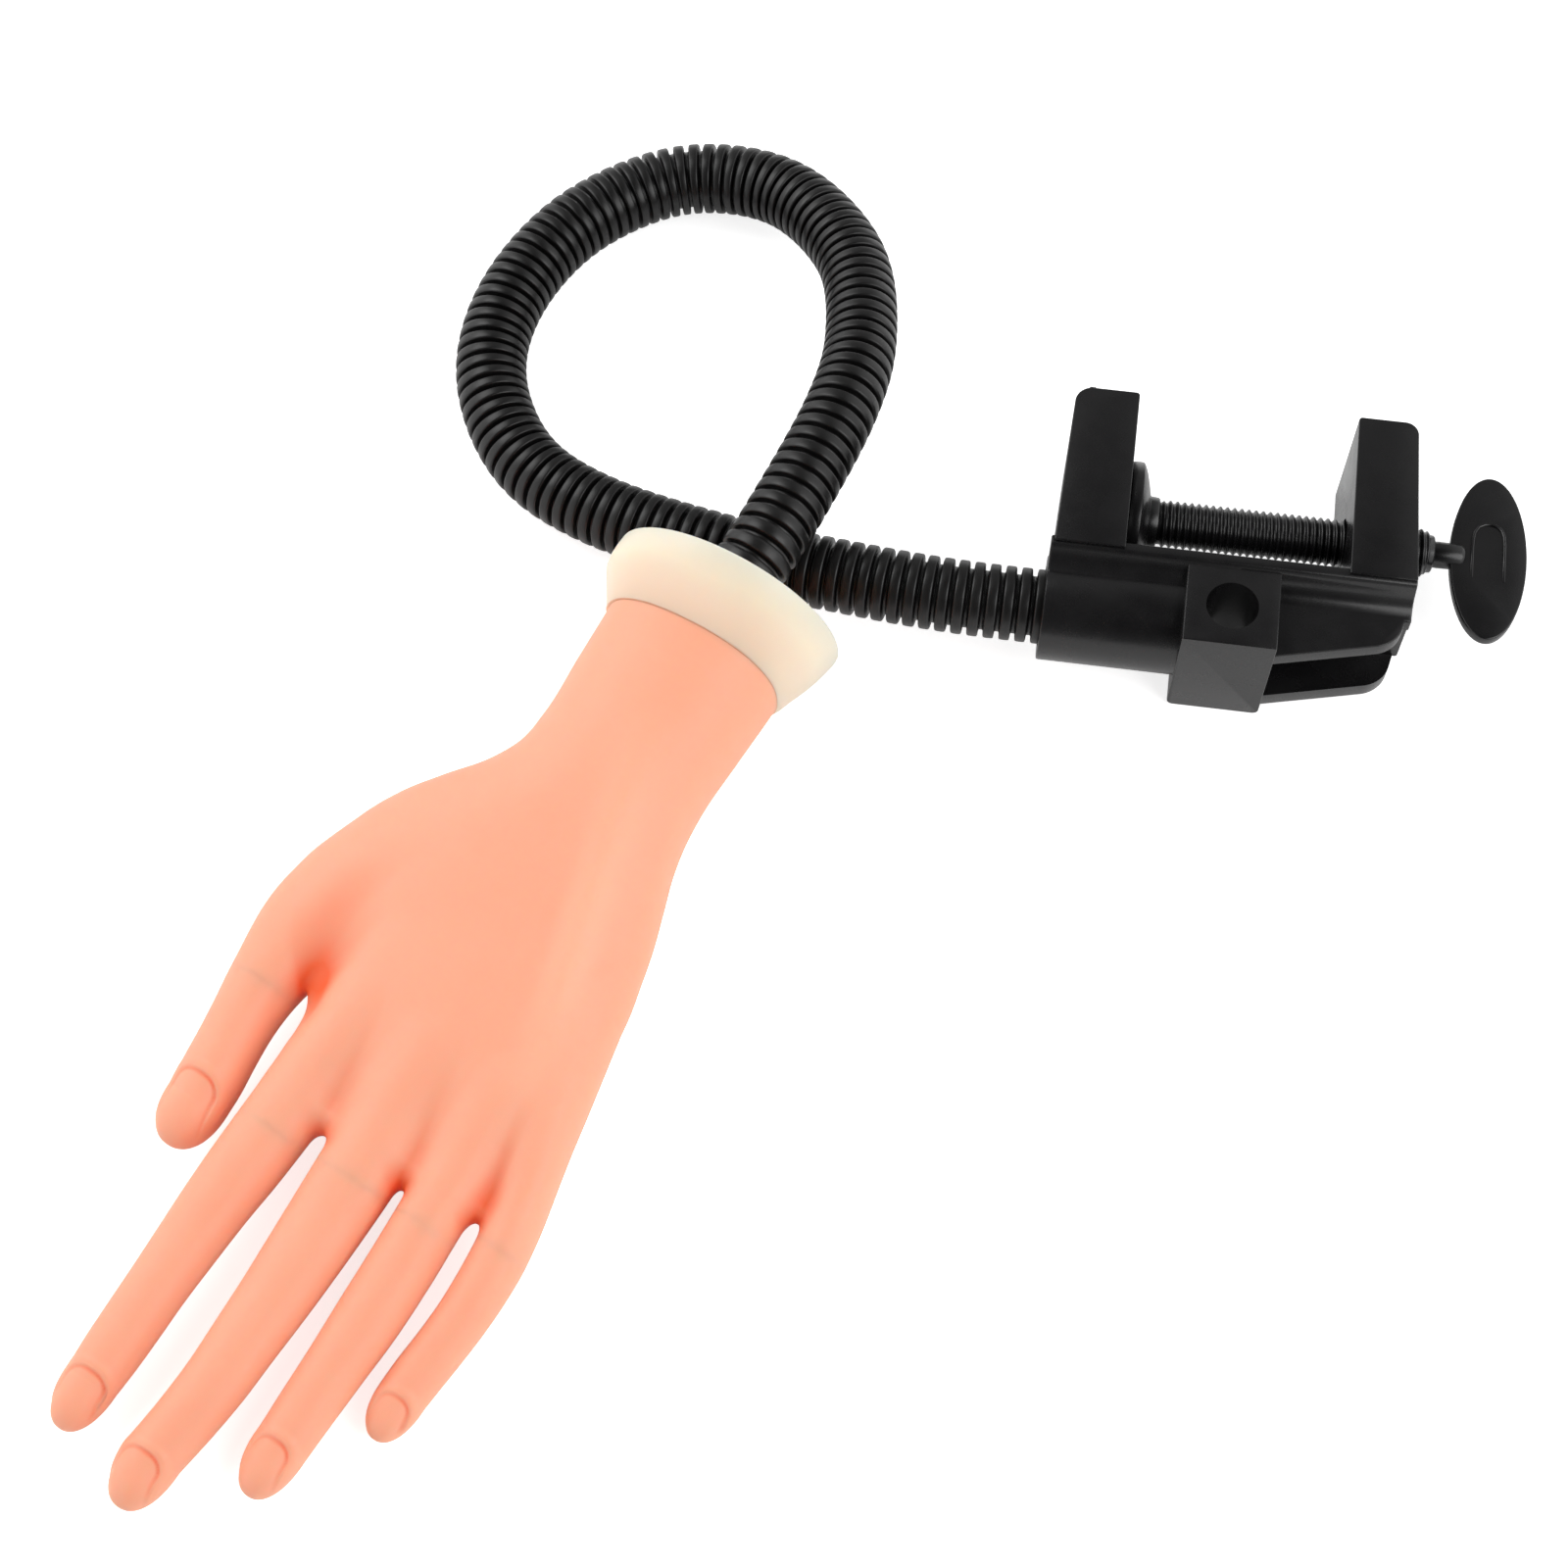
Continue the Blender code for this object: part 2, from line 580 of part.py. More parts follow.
def bend_places(route):
    return [share * route.end for share in BEND_SHARES]


def make_sleeve(index, route, start, end, collar, plastic):
    """One stretch of the ribbed sleeve: ribs outside, a plain bore inside, a collar at a bend."""
    crest = SLEEVE_DIAMETER / 2
    ribs = max(1, round((end - collar - start) / RIB_PITCH))
    pitch = (end - collar - start) / ribs
    rings = []
    for rib in range(ribs):
        rings.append(route.ring(start + rib * pitch, crest))
        rings.append(route.ring(start + (rib + 0.5) * pitch, crest - SLEEVE_GROOVE))
    rings.append(route.ring(end - collar, crest))
    if collar:
        rings.append(route.ring(end, crest))
    bore_steps = max(2, ribs // 2)
    for step in range(bore_steps + 1):
        rings.append(route.ring(end + (start - end) * step / bore_steps, BORE_RADIUS))
    shape = bmesh.new()
    skin_rings(shape, rings, looped=True)
    return add_object("gooseneck_sleeve_" + str(index), shape, plastic)


def make_link(index, route, start, end, first, last, steel):
    """One link of the core: a ball at its start, a cup at its end."""
    body = BORE_RADIUS - LINK_CLEARANCE
    ball_radius = LINK_BALL_DIAMETER / 2
    neck = LINK_NECK_DIAMETER / 2
    rings = []
    if first:
        rings.append(route.ring(start, body))
    else:
        for angle in (-75, -45, 0, 45):
            turn = math.radians(angle)
            rings.append(route.ring(start + ball_radius * math.sin(turn), ball_radius * math.cos(turn)))
        rings.append(route.ring(start + ball_radius + LINK_NECK_ROOT, neck))
        rings.append(route.ring(start + LINK_SHOULDER / 2, neck))
        rings.append(route.ring(start + LINK_SHOULDER, body))
    reach = end if last else end - LINK_SHOULDER
    begin = start if first else start + LINK_SHOULDER
    steps = max(1, round((reach - begin) / SLEEVE_DIAMETER * 2))
    for step in range(1, steps + 1):
        rings.append(route.ring(begin + (reach - begin) * step / steps, body))
    if not last:
        rings.append(route.ring(end - LINK_CUP_LENGTH, LINK_CUP_DIAMETER / 2))
        rings.append(route.ring(end + LINK_CUP_LIP, LINK_CUP_DIAMETER / 2))
    shape = bmesh.new()
    skin_rings(shape, rings)
    return add_object("gooseneck_link_" + str(index), shape, steel)


def make_arm(route, plastic, steel):
    """Sleeves and links, parted at each bend by a ball centred on it."""
    bends = bend_places(route)
    blind = SEAT_GAP
    starts = [blind - SOCKET_DEPTH] + bends
    ends = bends + [route.end - blind]
    seat = math.hypot(SLEEVE_DIAMETER / 2, BEND_LIP) + SEAT_GAP
    for index, (start, end) in enumerate(zip(starts, ends)):
        first = index == 0
        last = index == len(starts) - 1
        sleeve = make_sleeve(
            index + 1, route, start if first else start - BEND_LIP,
            end if last else end - BEND_SEAT_SETBACK, 0 if last else BEND_COLLAR, plastic)
        link = make_link(index + 1, route, start, end, first, last, steel)
        if not last:
            centre = route.at(end)
            combine(sleeve, ball(centre, seat, 24, 16, "sleeve_seat_" + str(index + 1)), "DIFFERENCE")
            cavity = ball(centre, LINK_CAVITY_DIAMETER / 2, 16, 10, "link_cavity_" + str(index + 1))
            combine(link, cavity, "DIFFERENCE")


# Hand

def oval(x, centre_y, centre_z, half_breadth, half_height, sides, squareness=2.0):
    """A superellipse across the hand's length."""
    ring = []
    for i in range(sides):
        angle = 2 * math.pi * (i + 0.5) / sides
        across, upward = math.cos(angle), math.sin(angle)
        power = 2 / squareness
        ring.append(Vector((
            x,
            centre_y + half_breadth * math.copysign(abs(across) ** power, across),
            centre_z + half_height * math.copysign(abs(upward) ** power, upward),
        )))
    return ring


def palm_shape():
    rings = []
    for along, thumb_edge, little_edge, thick, rise in PALM_SECTION_SHARES:
        low = thumb_edge * WRIST_WIDTH
        high = little_edge * WRIST_WIDTH
        ring = oval(PALM_START + along * PALM_LENGTH, (low + high) / 2, rise * WRIST_THICKNESS,
                    (high - low) / 2, thick * WRIST_THICKNESS / 2, PALM_SIDES, PALM_SQUARENESS)
        for point in ring:
            point.x -= along ** PALM_SKEW_POWER * PALM_END_SKEW * max(0, point.y / WRIST_WIDTH) ** 2
        rings.append(ring)
    middle = sum(rings[-1], Vector((0, 0, 0))) / PALM_SIDES
    end = [middle.lerp(point, PALM_END_FLAT_SHARE) for point in rings[-1]]
    for point in end:
        point.x = middle.x
    rings.append(end)
    shape = bmesh.new()
    skin_rings(shape, rings)
    return shape


def finger_ends(finger):
    """The centres of a finger's root and tip in the hand's frame."""
    return Vector(FINGER_ROOT_SHARES[finger]) * HAND_LENGTH, Vector(FINGER_TIP_SHARES[finger]) * HAND_LENGTH


def finger_shape(finger):
    """A tapering, slightly bowed finger with a round tip."""
    root, tip = finger_ends(finger)
    wide = Vector(ROOT_SECTION_SHARES[finger]) * HAND_LENGTH
    narrow = Vector(TIP_SECTION_SHARES[finger]) * HAND_LENGTH
    cap_start = 1 - FINGER_CAP_SHARE
    places = [*FINGER_RING_SHARES, cap_start]
    for angle in (30, 55, 75, 87):
        places.append(cap_start + FINGER_CAP_SHARE * math.sin(math.radians(angle)))
    rings = []
    for place in places:
        taper = min(1, place / FINGER_WAIST_SHARE)
        taper = taper * taper * (3 - 2 * taper)
        cap = max(0, (place - cap_start) / FINGER_CAP_SHARE)
        half = wide.lerp(narrow, taper) / 2 * math.sqrt(max(0, 1 - cap * cap))
        centre = root.lerp(tip, place)
        centre.y += FINGER_BOW_SHARES[finger] * HAND_LENGTH * math.sin(math.pi * place)
        rings.append(oval(*centre, *half, FINGER_SIDES, FINGER_SQUARENESS))
    shape = bmesh.new()
    skin_rings(shape, rings)
    return shape


def knuckle_diameter(finger):
    return THUMB_KNUCKLE_DIAMETER if FINGER_NAMES[finger] == "thumb" else KNUCKLE_DIAMETER


def knuckle_point(finger):
    """Where the wire crosses the knuckle's axis."""
    root, tip = finger_ends(finger)
    share = (KNUCKLE_SHARES[finger] * HAND_LENGTH - root.x) / (tip.x - root.x)
    return root.lerp(tip, share)


def knuckle_slot(finger, clearance, hand):
    """The space in front of a knuckle, with a round back about the knuckle's axis."""
    radius = knuckle_diameter(finger) / 2 + clearance
    root, tip = finger_ends(finger)
    centre_x = knuckle_point(finger).x
    reach = tip.x + CUT_OVERRUN
    low = FINGER_BORDER_SHARES[finger] * HAND_LENGTH
    high = FINGER_BORDER_SHARES[finger + 1] * HAND_LENGTH
    outline = [(reach, root.z - WRIST_THICKNESS), (centre_x, root.z - WRIST_THICKNESS)]
    for k in range(17):
        angle = math.radians(270 - 180 * k / 16)
        outline.append((centre_x + radius * math.cos(angle), root.z + radius * math.sin(angle)))
    outline += [(centre_x, root.z + WRIST_THICKNESS), (reach, root.z + WRIST_THICKNESS)]
    margin = -SEAT_GAP / 2 if clearance else SEAT_GAP / 2
    slot = prism(outline, low + margin, high - margin, axes="xzy")
    return add_cutter(FINGER_NAMES[finger] + ("_room" if clearance else "_solid"), slot, parent=hand)


def rod(start, end, diameter, sides=8):
    """A straight round rod between two points in the hand's frame."""
    shape = bmesh.new()
    along = (end - start).normalized()
    side = Vector((0, 0, 1)).cross(along).normalized()
    up = along.cross(side)
    rings = []
    for centre in (start, end):
        ring = []
        for i in range(sides):
            angle = 2 * math.pi * (i + 0.5) / sides
            ring.append(centre + diameter / 2 * (math.cos(angle) * side + math.sin(angle) * up))
        rings.append(ring)
    skin_rings(shape, rings)
    return shape


def wire_ends(finger):
    """The palm wire's end, and the finger wire's start and end, either side of the knuckle."""
    radius = knuckle_diameter(finger) / 2
    centre = knuckle_point(finger)
    tip = finger_ends(finger)[1]
    along = (tip - centre).normalized()
    palm_end = centre - along * (radius + SEAT_GAP + WIRE_END_SETBACK)
    finger_start = centre - along * (radius - WIRE_END_SETBACK)
    return palm_end, finger_start, tip - along * WIRE_TIP_SETBACK


def make_hand(hand, skin, silicone, plastic, steel):
    palm = add_object("palm", palm_shape(), skin, hand)
    for finger, name in enumerate(FINGER_NAMES):
        combine(palm, add_cutter("raw_" + name, finger_shape(finger), hand), "UNION")
    bake(palm)
    whole = palm.data
    for finger, name in enumerate(FINGER_NAMES):
        piece = bpy.data.objects.new("finger_" + name, whole.copy())
        bpy.context.collection.objects.link(piece)
        piece.parent = hand
        combine(piece, knuckle_slot(finger, 0, hand), "INTERSECT", "MANIFOLD")
        start, end = wire_ends(finger)[1:]
        along = (end - start).normalized()
        bore = rod(start - along * CUT_OVERRUN, end + along * SEAT_GAP, WIRE_DIAMETER + 2 * SEAT_GAP)
        combine(piece, add_cutter("bore_" + name, bore, hand), "DIFFERENCE")
        add_object("finger_wire_" + name, rod(start, end, WIRE_DIAMETER), steel, hand)
        combine(palm, knuckle_slot(finger, SEAT_GAP, hand), "DIFFERENCE", "MANIFOLD")
    make_wire_frame(palm, steel, hand)
    recess_radius = PLUG_DIAMETER / 2 + SEAT_GAP
    recess = turned([(PALM_START - CUT_OVERRUN, recess_radius), (HUB_FRONT + SEAT_GAP, recess_radius)],
                    24, Vector((0, 0, 0)))
    combine(palm, add_cutter("plug_recess", recess, hand), "DIFFERENCE")
    make_wrist_plug(hand, plastic)
    make_cuff(hand, silicone)


def make_wire_frame(palm, steel, hand):
    """The hub plate in the wrist with one wire to each knuckle."""
    hub = HUB_DIAMETER / 2
    frame = add_object("wire_frame", turned(
        [(PLUG_FRONT + SEAT_GAP, hub), (HUB_FRONT, hub)], 24, Vector((0, 0, 0))), steel, hand)
    for finger, name in enumerate(FINGER_NAMES):
        spread = (finger / (len(FINGER_NAMES) - 1) - 0.5) * HUB_SPREAD
        start = Vector((HUB_FRONT - HUB_THICKNESS / 2, spread, 0))
        end = wire_ends(finger)[0]
        along = (end - start).normalized()
        combine(frame, add_cutter("palm_wire_" + name, rod(start, end, WIRE_DIAMETER), hand), "UNION")
        bore = rod(start, end + along * KNUCKLE_DIAMETER / 4, WIRE_DIAMETER + 2 * SEAT_GAP)
        combine(palm, add_cutter("palm_bore_" + name, bore, hand), "DIFFERENCE")


def make_wrist_plug(hand, plastic):
    """A flanged plug in the wrist with a blind bore for the arm's end."""
    flange = PLUG_FLANGE_DIAMETER / 2
    body = PLUG_DIAMETER / 2
    bore = SLEEVE_DIAMETER / 2 + SEAT_GAP
    shoulder = PLUG_SETBACK + PLUG_FLANGE
    profile = [(PLUG_SETBACK, flange), (shoulder, flange), (shoulder, body), (PLUG_FRONT, body)]
    plug = add_object("wrist_plug", turned(profile, 24, Vector((0, 0, 0))), plastic, hand)
    hole = turned([(PLUG_SETBACK - CUT_OVERRUN, bore), (PLUG_SETBACK + PLUG_BORE_DEPTH, bore)],
                  24, Vector((0, 0, 0)))
    combine(plug, add_cutter("plug_bore", hole, hand), "DIFFERENCE")


def make_cuff(hand, silicone):
    """A flared ring: round at its rim, oval where it holds the wrist."""
    rim = CUFF_RIM_DIAMETER / 2
    wrist_y = WRIST_WIDTH / 2 + SEAT_GAP
    wrist_z = WRIST_THICKNESS / 2 + SEAT_GAP
    offset = (PALM_SECTION_SHARES[0][1] + PALM_SECTION_SHARES[0][2]) / 2 * WRIST_WIDTH
    seat = (CUFF_LENGTH - CUFF_SEAT) / CUFF_LENGTH
    bore = [(1, 1, 0), (seat, 1, 0), (CUFF_BORE_SHARE, CUFF_BORE_SHARE, -1), (0, 0, -1)]
    rings = []
    for along, change, wall in [*CUFF_OUTER_SHARES, *bore]:
        half_y = rim + (wrist_y - rim) * change + wall * CUFF_WALL
        half_z = rim + (wrist_z - rim) * change + wall * CUFF_WALL
        squareness = 2 + (PALM_SQUARENESS - 2) * change
        rings.append(oval(along * CUFF_LENGTH, offset * change, 0, half_y, half_z, 40, squareness))
    shape = bmesh.new()
    skin_rings(shape, rings, looped=True)
    return add_object("cuff", shape, silicone, hand)


def hand_empty():
    """The hand's frame: origin at the cuff's rim, +X to the fingertips, +Y to the little finger."""
    hand = bpy.data.objects.new("hand_frame", None)
    bpy.context.collection.objects.link(hand)
    place = SOCKET_MOUTH + Vector(WRIST_SHARE) * LOOP_SPAN
    turn = Matrix.Rotation(HAND_HEADING, 4, "Z") @ Matrix.Rotation(HAND_DROOP, 4, "Y")
    hand.matrix_world = Matrix.Translation(place) @ turn
    bpy.context.view_layer.update()
    return hand


def move_to_origin():
    """Puts the origin on the middle of the fixed jaw's lower side."""
    shift = Matrix.Translation((FIXED_JAW_THICKNESS / 2, 0, CLAMP_WIDTH / 2))
    for item in bpy.data.objects:
        if item.parent is None:
            item.matrix_world = shift @ item.matrix_world


def build():
    clear_scene()
    black = make_material("black_abs", (0.020, 0.020, 0.021), 0.38)
    sleeve_black = make_material("black_polyethylene", (0.017, 0.017, 0.018), 0.42)
    skin = make_material("soft_skin_vinyl", (1.000, 0.434, 0.283), 0.48)
    silicone = make_material("cream_silicone", (0.955, 0.815, 0.640), 0.40)
    steel = make_material("steel_wire", (0.55, 0.56, 0.58), 0.35, 1.0)
    make_clamp_frame(black)
    make_pressure_pad(black)
    make_clamp_screw(black)
    make_thumb_turn(black)
    hand = hand_empty()
    make_arm(arm_route(hand.matrix_world), sleeve_black, steel)
    make_hand(hand, skin, silicone, black, steel)
    move_to_origin()


build()
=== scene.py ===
"""Looks of the nail practice hand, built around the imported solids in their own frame.

Metres, +Z up; the hand's own shapes are worked out in millimetres in the hand's frame.
"""
import math

import bmesh
import bpy
import numpy as np
from mathutils import Matrix, Vector


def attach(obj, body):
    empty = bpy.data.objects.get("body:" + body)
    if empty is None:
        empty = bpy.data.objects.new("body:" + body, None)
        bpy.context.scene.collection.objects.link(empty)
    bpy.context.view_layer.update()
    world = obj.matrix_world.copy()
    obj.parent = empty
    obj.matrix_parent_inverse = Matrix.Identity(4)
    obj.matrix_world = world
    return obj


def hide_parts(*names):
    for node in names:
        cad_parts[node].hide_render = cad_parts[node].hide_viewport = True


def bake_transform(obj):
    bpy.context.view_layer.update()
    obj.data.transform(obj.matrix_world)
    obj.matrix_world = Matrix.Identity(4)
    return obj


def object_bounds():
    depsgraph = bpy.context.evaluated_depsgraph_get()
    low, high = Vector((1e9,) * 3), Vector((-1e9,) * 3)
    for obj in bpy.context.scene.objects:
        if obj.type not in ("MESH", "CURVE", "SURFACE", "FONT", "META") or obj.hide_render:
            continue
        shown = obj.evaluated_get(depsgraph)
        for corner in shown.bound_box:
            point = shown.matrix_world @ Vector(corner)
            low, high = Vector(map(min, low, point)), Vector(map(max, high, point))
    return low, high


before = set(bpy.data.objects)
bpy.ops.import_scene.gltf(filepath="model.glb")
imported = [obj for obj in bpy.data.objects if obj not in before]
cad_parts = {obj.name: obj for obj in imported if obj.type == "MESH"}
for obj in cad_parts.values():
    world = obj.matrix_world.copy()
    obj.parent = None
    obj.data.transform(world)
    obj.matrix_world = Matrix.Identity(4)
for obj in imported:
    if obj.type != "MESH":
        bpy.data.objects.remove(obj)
solid_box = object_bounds()


# Camera, floor and light
# The photograph looks down on the hand from in front of it, at about 64 degrees, in a white
# studio. A fit of the clamp's straight edges gave the camera's place, direction and lens.

camera = bpy.data.objects.new("photo_camera", bpy.data.cameras.new("photo_camera"))
bpy.context.collection.objects.link(camera)
camera.data.lens = 67.79
camera.data.sensor_width = 36.0
camera.data.clip_start = 0.01
forward = Vector((-0.0581, 0.4364, -0.8979)).normalized()
right = Vector((0.9912, 0.1321, 0.0)).normalized()
above = right.cross(forward)
camera.matrix_world = Matrix.Translation((-0.0264, -0.4191, 0.6877)) @ Matrix(
    (right, above, -forward)).transposed().to_4x4()
bpy.context.scene.camera = camera
bpy.context.scene.view_settings.view_transform = "Standard"


def srgb(code):
    """An sRGB hex colour as the linear colour that a shader takes."""
    channels = [int(code[i:i + 2], 16) / 255 for i in (1, 3, 5)]
    linear = [c / 12.92 if c <= 0.04045 else ((c + 0.055) / 1.055) ** 2.4 for c in channels]
    return (*linear, 1.0)


def add_node(tree, kind, inputs=None, **settings):
    """Adds a node; an input is a value, or a (node, output) pair to link from."""
    made = tree.nodes.new(kind)
    for key, value in settings.items():
        setattr(made, key, value)
    for socket, value in (inputs or {}).items():
        if isinstance(value, tuple) and isinstance(value[0], bpy.types.Node):
            tree.links.new(value[0].outputs[value[1]], made.inputs[socket])
        else:
            made.inputs[socket].default_value = value
    return made


def new_material(name):
    material = bpy.data.materials.new(name)
    material.use_nodes = True
    shader = material.node_tree.nodes["Principled BSDF"]
    return material, material.node_tree, shader


def link(tree, source, output, target, socket):
    tree.links.new(source.outputs[output], target.inputs[socket])


# The studio is dim, dark round the camera's opening, with a wide white screen on each side; so
# black faces stay black from above and the hand is still lit evenly.
world = bpy.data.worlds.new("studio")
bpy.context.scene.world = world
world.use_nodes = True
sky = world.node_tree
direction = add_node(sky, "ShaderNodeTexCoord")
sideways = add_node(sky, "ShaderNodeSeparateXYZ", {0: (direction, "Generated")})
nearness = add_node(sky, "ShaderNodeVectorMath", {
    0: (direction, "Generated"), 1: (0.06, -0.44, 0.90)}, operation="DOT_PRODUCT")
dim_room = add_node(sky, "ShaderNodeMapRange", {
    "Value": (nearness, "Value"), "From Min": 0.35, "From Max": 0.92, "To Min": 0.34, "To Max": 0.02},
    interpolation_type="SMOOTHSTEP")
left_screen = add_node(sky, "ShaderNodeMapRange", {
    "Value": (sideways, "X"), "From Min": -0.20, "From Max": -0.70, "To Min": 0.0, "To Max": 1.15},
    interpolation_type="SMOOTHSTEP")
right_screen = add_node(sky, "ShaderNodeMapRange", {
    "Value": (sideways, "X"), "From Min": 0.20, "From Max": 0.70, "To Min": 0.0, "To Max": 0.95},
    interpolation_type="SMOOTHSTEP")
screens = add_node(sky, "ShaderNodeMath", {0: (left_screen, "Result"), 1: (right_screen, "Result")},
                   operation="ADD")
whole = add_node(sky, "ShaderNodeMath", {0: (screens, 0), 1: (dim_room, "Result")}, operation="ADD")
link(sky, whole, 0, sky.nodes["Background"], "Strength")
sky.nodes["Background"].inputs["Color"].default_value = (1, 1, 1, 1)

lamps = [
    ("left_softbox", (-0.85, 0.35, 0.95), 0.80, 5.5),
    ("right_softbox", (0.85, -0.45, 0.95), 0.90, 7.5),
]
for name, place, size, power in lamps:
    lamp = bpy.data.objects.new(name, bpy.data.lights.new(name, "AREA"))
    lamp.data.size = size
    lamp.data.energy = power
    lamp.location = place
    aim = Vector((-0.06, -0.08, 0)) - Vector(place)
    lamp.rotation_euler = aim.to_track_quat("-Z", "Y").to_euler()
    bpy.context.collection.objects.link(lamp)

# White bench top that the clamp, the loop and the hand lie on; it glows a little for the camera
# and for reflections, and keeps the soft shadow.
floor_mesh = bpy.data.meshes.new("bench_top")
floor_level = solid_box[0][2] - 0.0001
floor_mesh.from_pydata(
    [(x, y, floor_level) for x, y in ((-4, -4), (4, -4), (4, 4), (-4, 4))], [], [(0, 1, 2, 3)])
floor = bpy.data.objects.new("bench_top", floor_mesh)
bpy.context.collection.objects.link(floor)
material, tree, shader = new_material("white_bench")
shader.inputs["Base Color"].default_value = srgb("#f2f2f2")
shader.inputs["Roughness"].default_value = 0.7
shader.inputs["Emission Color"].default_value = (1, 1, 1, 1)
path = add_node(tree, "ShaderNodeLightPath")
mirrored = add_node(tree, "ShaderNodeMath", {
    0: (path, "Is Glossy Ray"), 1: (path, "Is Transmission Ray")}, operation="MAXIMUM")
faint = add_node(tree, "ShaderNodeMath", {0: (mirrored, 0), 1: 0.24}, operation="MULTIPLY")
glow = add_node(tree, "ShaderNodeMath", {
    0: (path, "Is Camera Ray"), 1: 0.74, 2: (faint, 0)}, operation="MULTIPLY_ADD")
link(tree, glow, 0, shader, "Emission Strength")
floor_mesh.materials.append(material)


# Clamp frame
# One thick injection moulding in black ABS: two jaws on a spine, a round socket for the arm, a
# block with a pin hole and a two-plate tail. Its edges are rounded as a mould leaves them.

def moulded_plastic(name, colour, roughness, spread, grain, mark):
    """Plastic with a fine tool grain and broad, faint changes of shine."""
    material, tree, shader = new_material(name)
    place = add_node(tree, "ShaderNodeTexCoord")
    broad = add_node(tree, "ShaderNodeTexNoise", {
        "Vector": (place, "Object"), "Scale": 1 / mark, "Detail": 4.0, "Roughness": 0.6})
    fine = add_node(tree, "ShaderNodeTexNoise", {
        "Vector": (place, "Object"), "Scale": 1 / grain, "Detail": 2.0})
    tone = add_node(tree, "ShaderNodeMix", {
        0: (broad, "Fac"), 6: srgb(colour[0]), 7: srgb(colour[1])}, data_type="RGBA")
    shine = add_node(tree, "ShaderNodeMapRange", {
        "Value": (broad, "Fac"), "From Min": 0.3, "From Max": 0.7,
        "To Min": roughness - spread, "To Max": roughness + spread})
    relief = add_node(tree, "ShaderNodeBump", {
        "Height": (fine, "Fac"), "Strength": 0.12, "Distance": 0.0001})
    link(tree, tone, 2, shader, "Base Color")
    link(tree, shine, "Result", shader, "Roughness")
    link(tree, relief, "Normal", shader, "Normal")
    shader.inputs["IOR"].default_value = 1.50
    return material


# Satin black ABS: near black, with a soft sheen that lifts it to charcoal on faces that
# catch the white studio at a low angle.
black_abs = moulded_plastic("black_abs", ("#0c0c0d", "#131213"), 0.27, 0.04, 0.0005, 0.012)

MM = 0.001
# The clamp is laid out from the middle of the fixed jaw's clamping face
jaw_face = Matrix.Translation((0.0091, 0.0, 0.01875))
jaw_half = 18.75 * MM
# Where the arm's socket and the screw run, across the jaws in mm
socket_line = -34.3
screw_line = -5


def prism(outline, low, high, axes="xyz"):
    """Extrudes an outline; axes names the outline's two directions and then the extrusion's."""
    order = ["xyz".index(letter) for letter in axes]
    shape = bmesh.new()
    rings = []
    for level in (low, high):
        ring = []
        for first, second in outline:
            point = Vector((0, 0, 0))
            point[order[0]], point[order[1]], point[order[2]] = first, second, level
            ring.append(shape.verts.new(point))
        rings.append(ring)
    for i in range(len(outline)):
        j = (i + 1) % len(outline)
        shape.faces.new((rings[0][i], rings[0][j], rings[1][j], rings[1][i]))
    shape.faces.new(rings[0])
    shape.faces.new(rings[1])
    bmesh.ops.recalc_face_normals(shape, faces=shape.faces)
    return shape


def rounded(corners, steps=10):
    """Replaces each (x, y, radius) corner of an outline with an arc."""
    outline = []
    for i, (x, y, radius) in enumerate(corners):
        corner = Vector((x, y))
        if not radius:
            outline.append(corner)
            continue
        before = (Vector(corners[i - 1][:2]) - corner).normalized()
        after = (Vector(corners[(i + 1) % len(corners)][:2]) - corner).normalized()
        half = before.angle(after) / 2
        centre = corner + (before + after).normalized() * radius / math.sin(half)
        start = corner + before * radius / math.tan(half) - centre
        end = corner + after * radius / math.tan(half) - centre
        for k in range(steps + 1):
            outline.append(centre + start.lerp(end, k / steps).normalized() * radius)
    return outline


def ring_faces(rings, sides, looped=False):
    """Quads between neighbouring rings of points; looped joins the last ring to the first."""
    faces = []
    for i in range(rings if looped else rings - 1):
        n = (i + 1) % rings
        for j in range(sides):
            k = (j + 1) % sides
            faces.append((i * sides + j, i * sides + k, n * sides + k, n * sides + j))
    return faces


def turned(profile, sides, axis_y, axis_z=0.0, looped=False):
    """A solid of revolution about a line along X, from (x, radius) pairs."""
    points = []
    for x, radius in profile:
        for i in range(sides):
            angle = 2 * math.pi * i / sides
            points.append((x, axis_y + radius * math.cos(angle), axis_z + radius * math.sin(angle)))
    count = len(profile)
    faces = ring_faces(count, sides, looped)
    if not looped:
        faces.append(tuple(range(sides)))
        faces.append(tuple(range((count - 1) * sides, count * sides)))
    shape = bmesh.new()
    verts = [shape.verts.new(point) for point in points]
    for face in faces:
        shape.faces.new([verts[i] for i in face])
    bmesh.ops.recalc_face_normals(shape, faces=shape.faces)
    return shape


def solid(name, shape, edge=0.0, angle=30):
    """A loose object from a bmesh, with its sharp edges rounded."""
    mesh = bpy.data.meshes.new(name)
    shape.to_mesh(mesh)
    shape.free()
    item = bpy.data.objects.new(name, mesh)
    bpy.context.collection.objects.link(item)
    if edge:
        bevel = item.modifiers.new("edge", "BEVEL")
        bevel.width = edge
        bevel.segments = 3
        bevel.limit_method = "ANGLE"
        bevel.angle_limit = math.radians(angle)
    return item


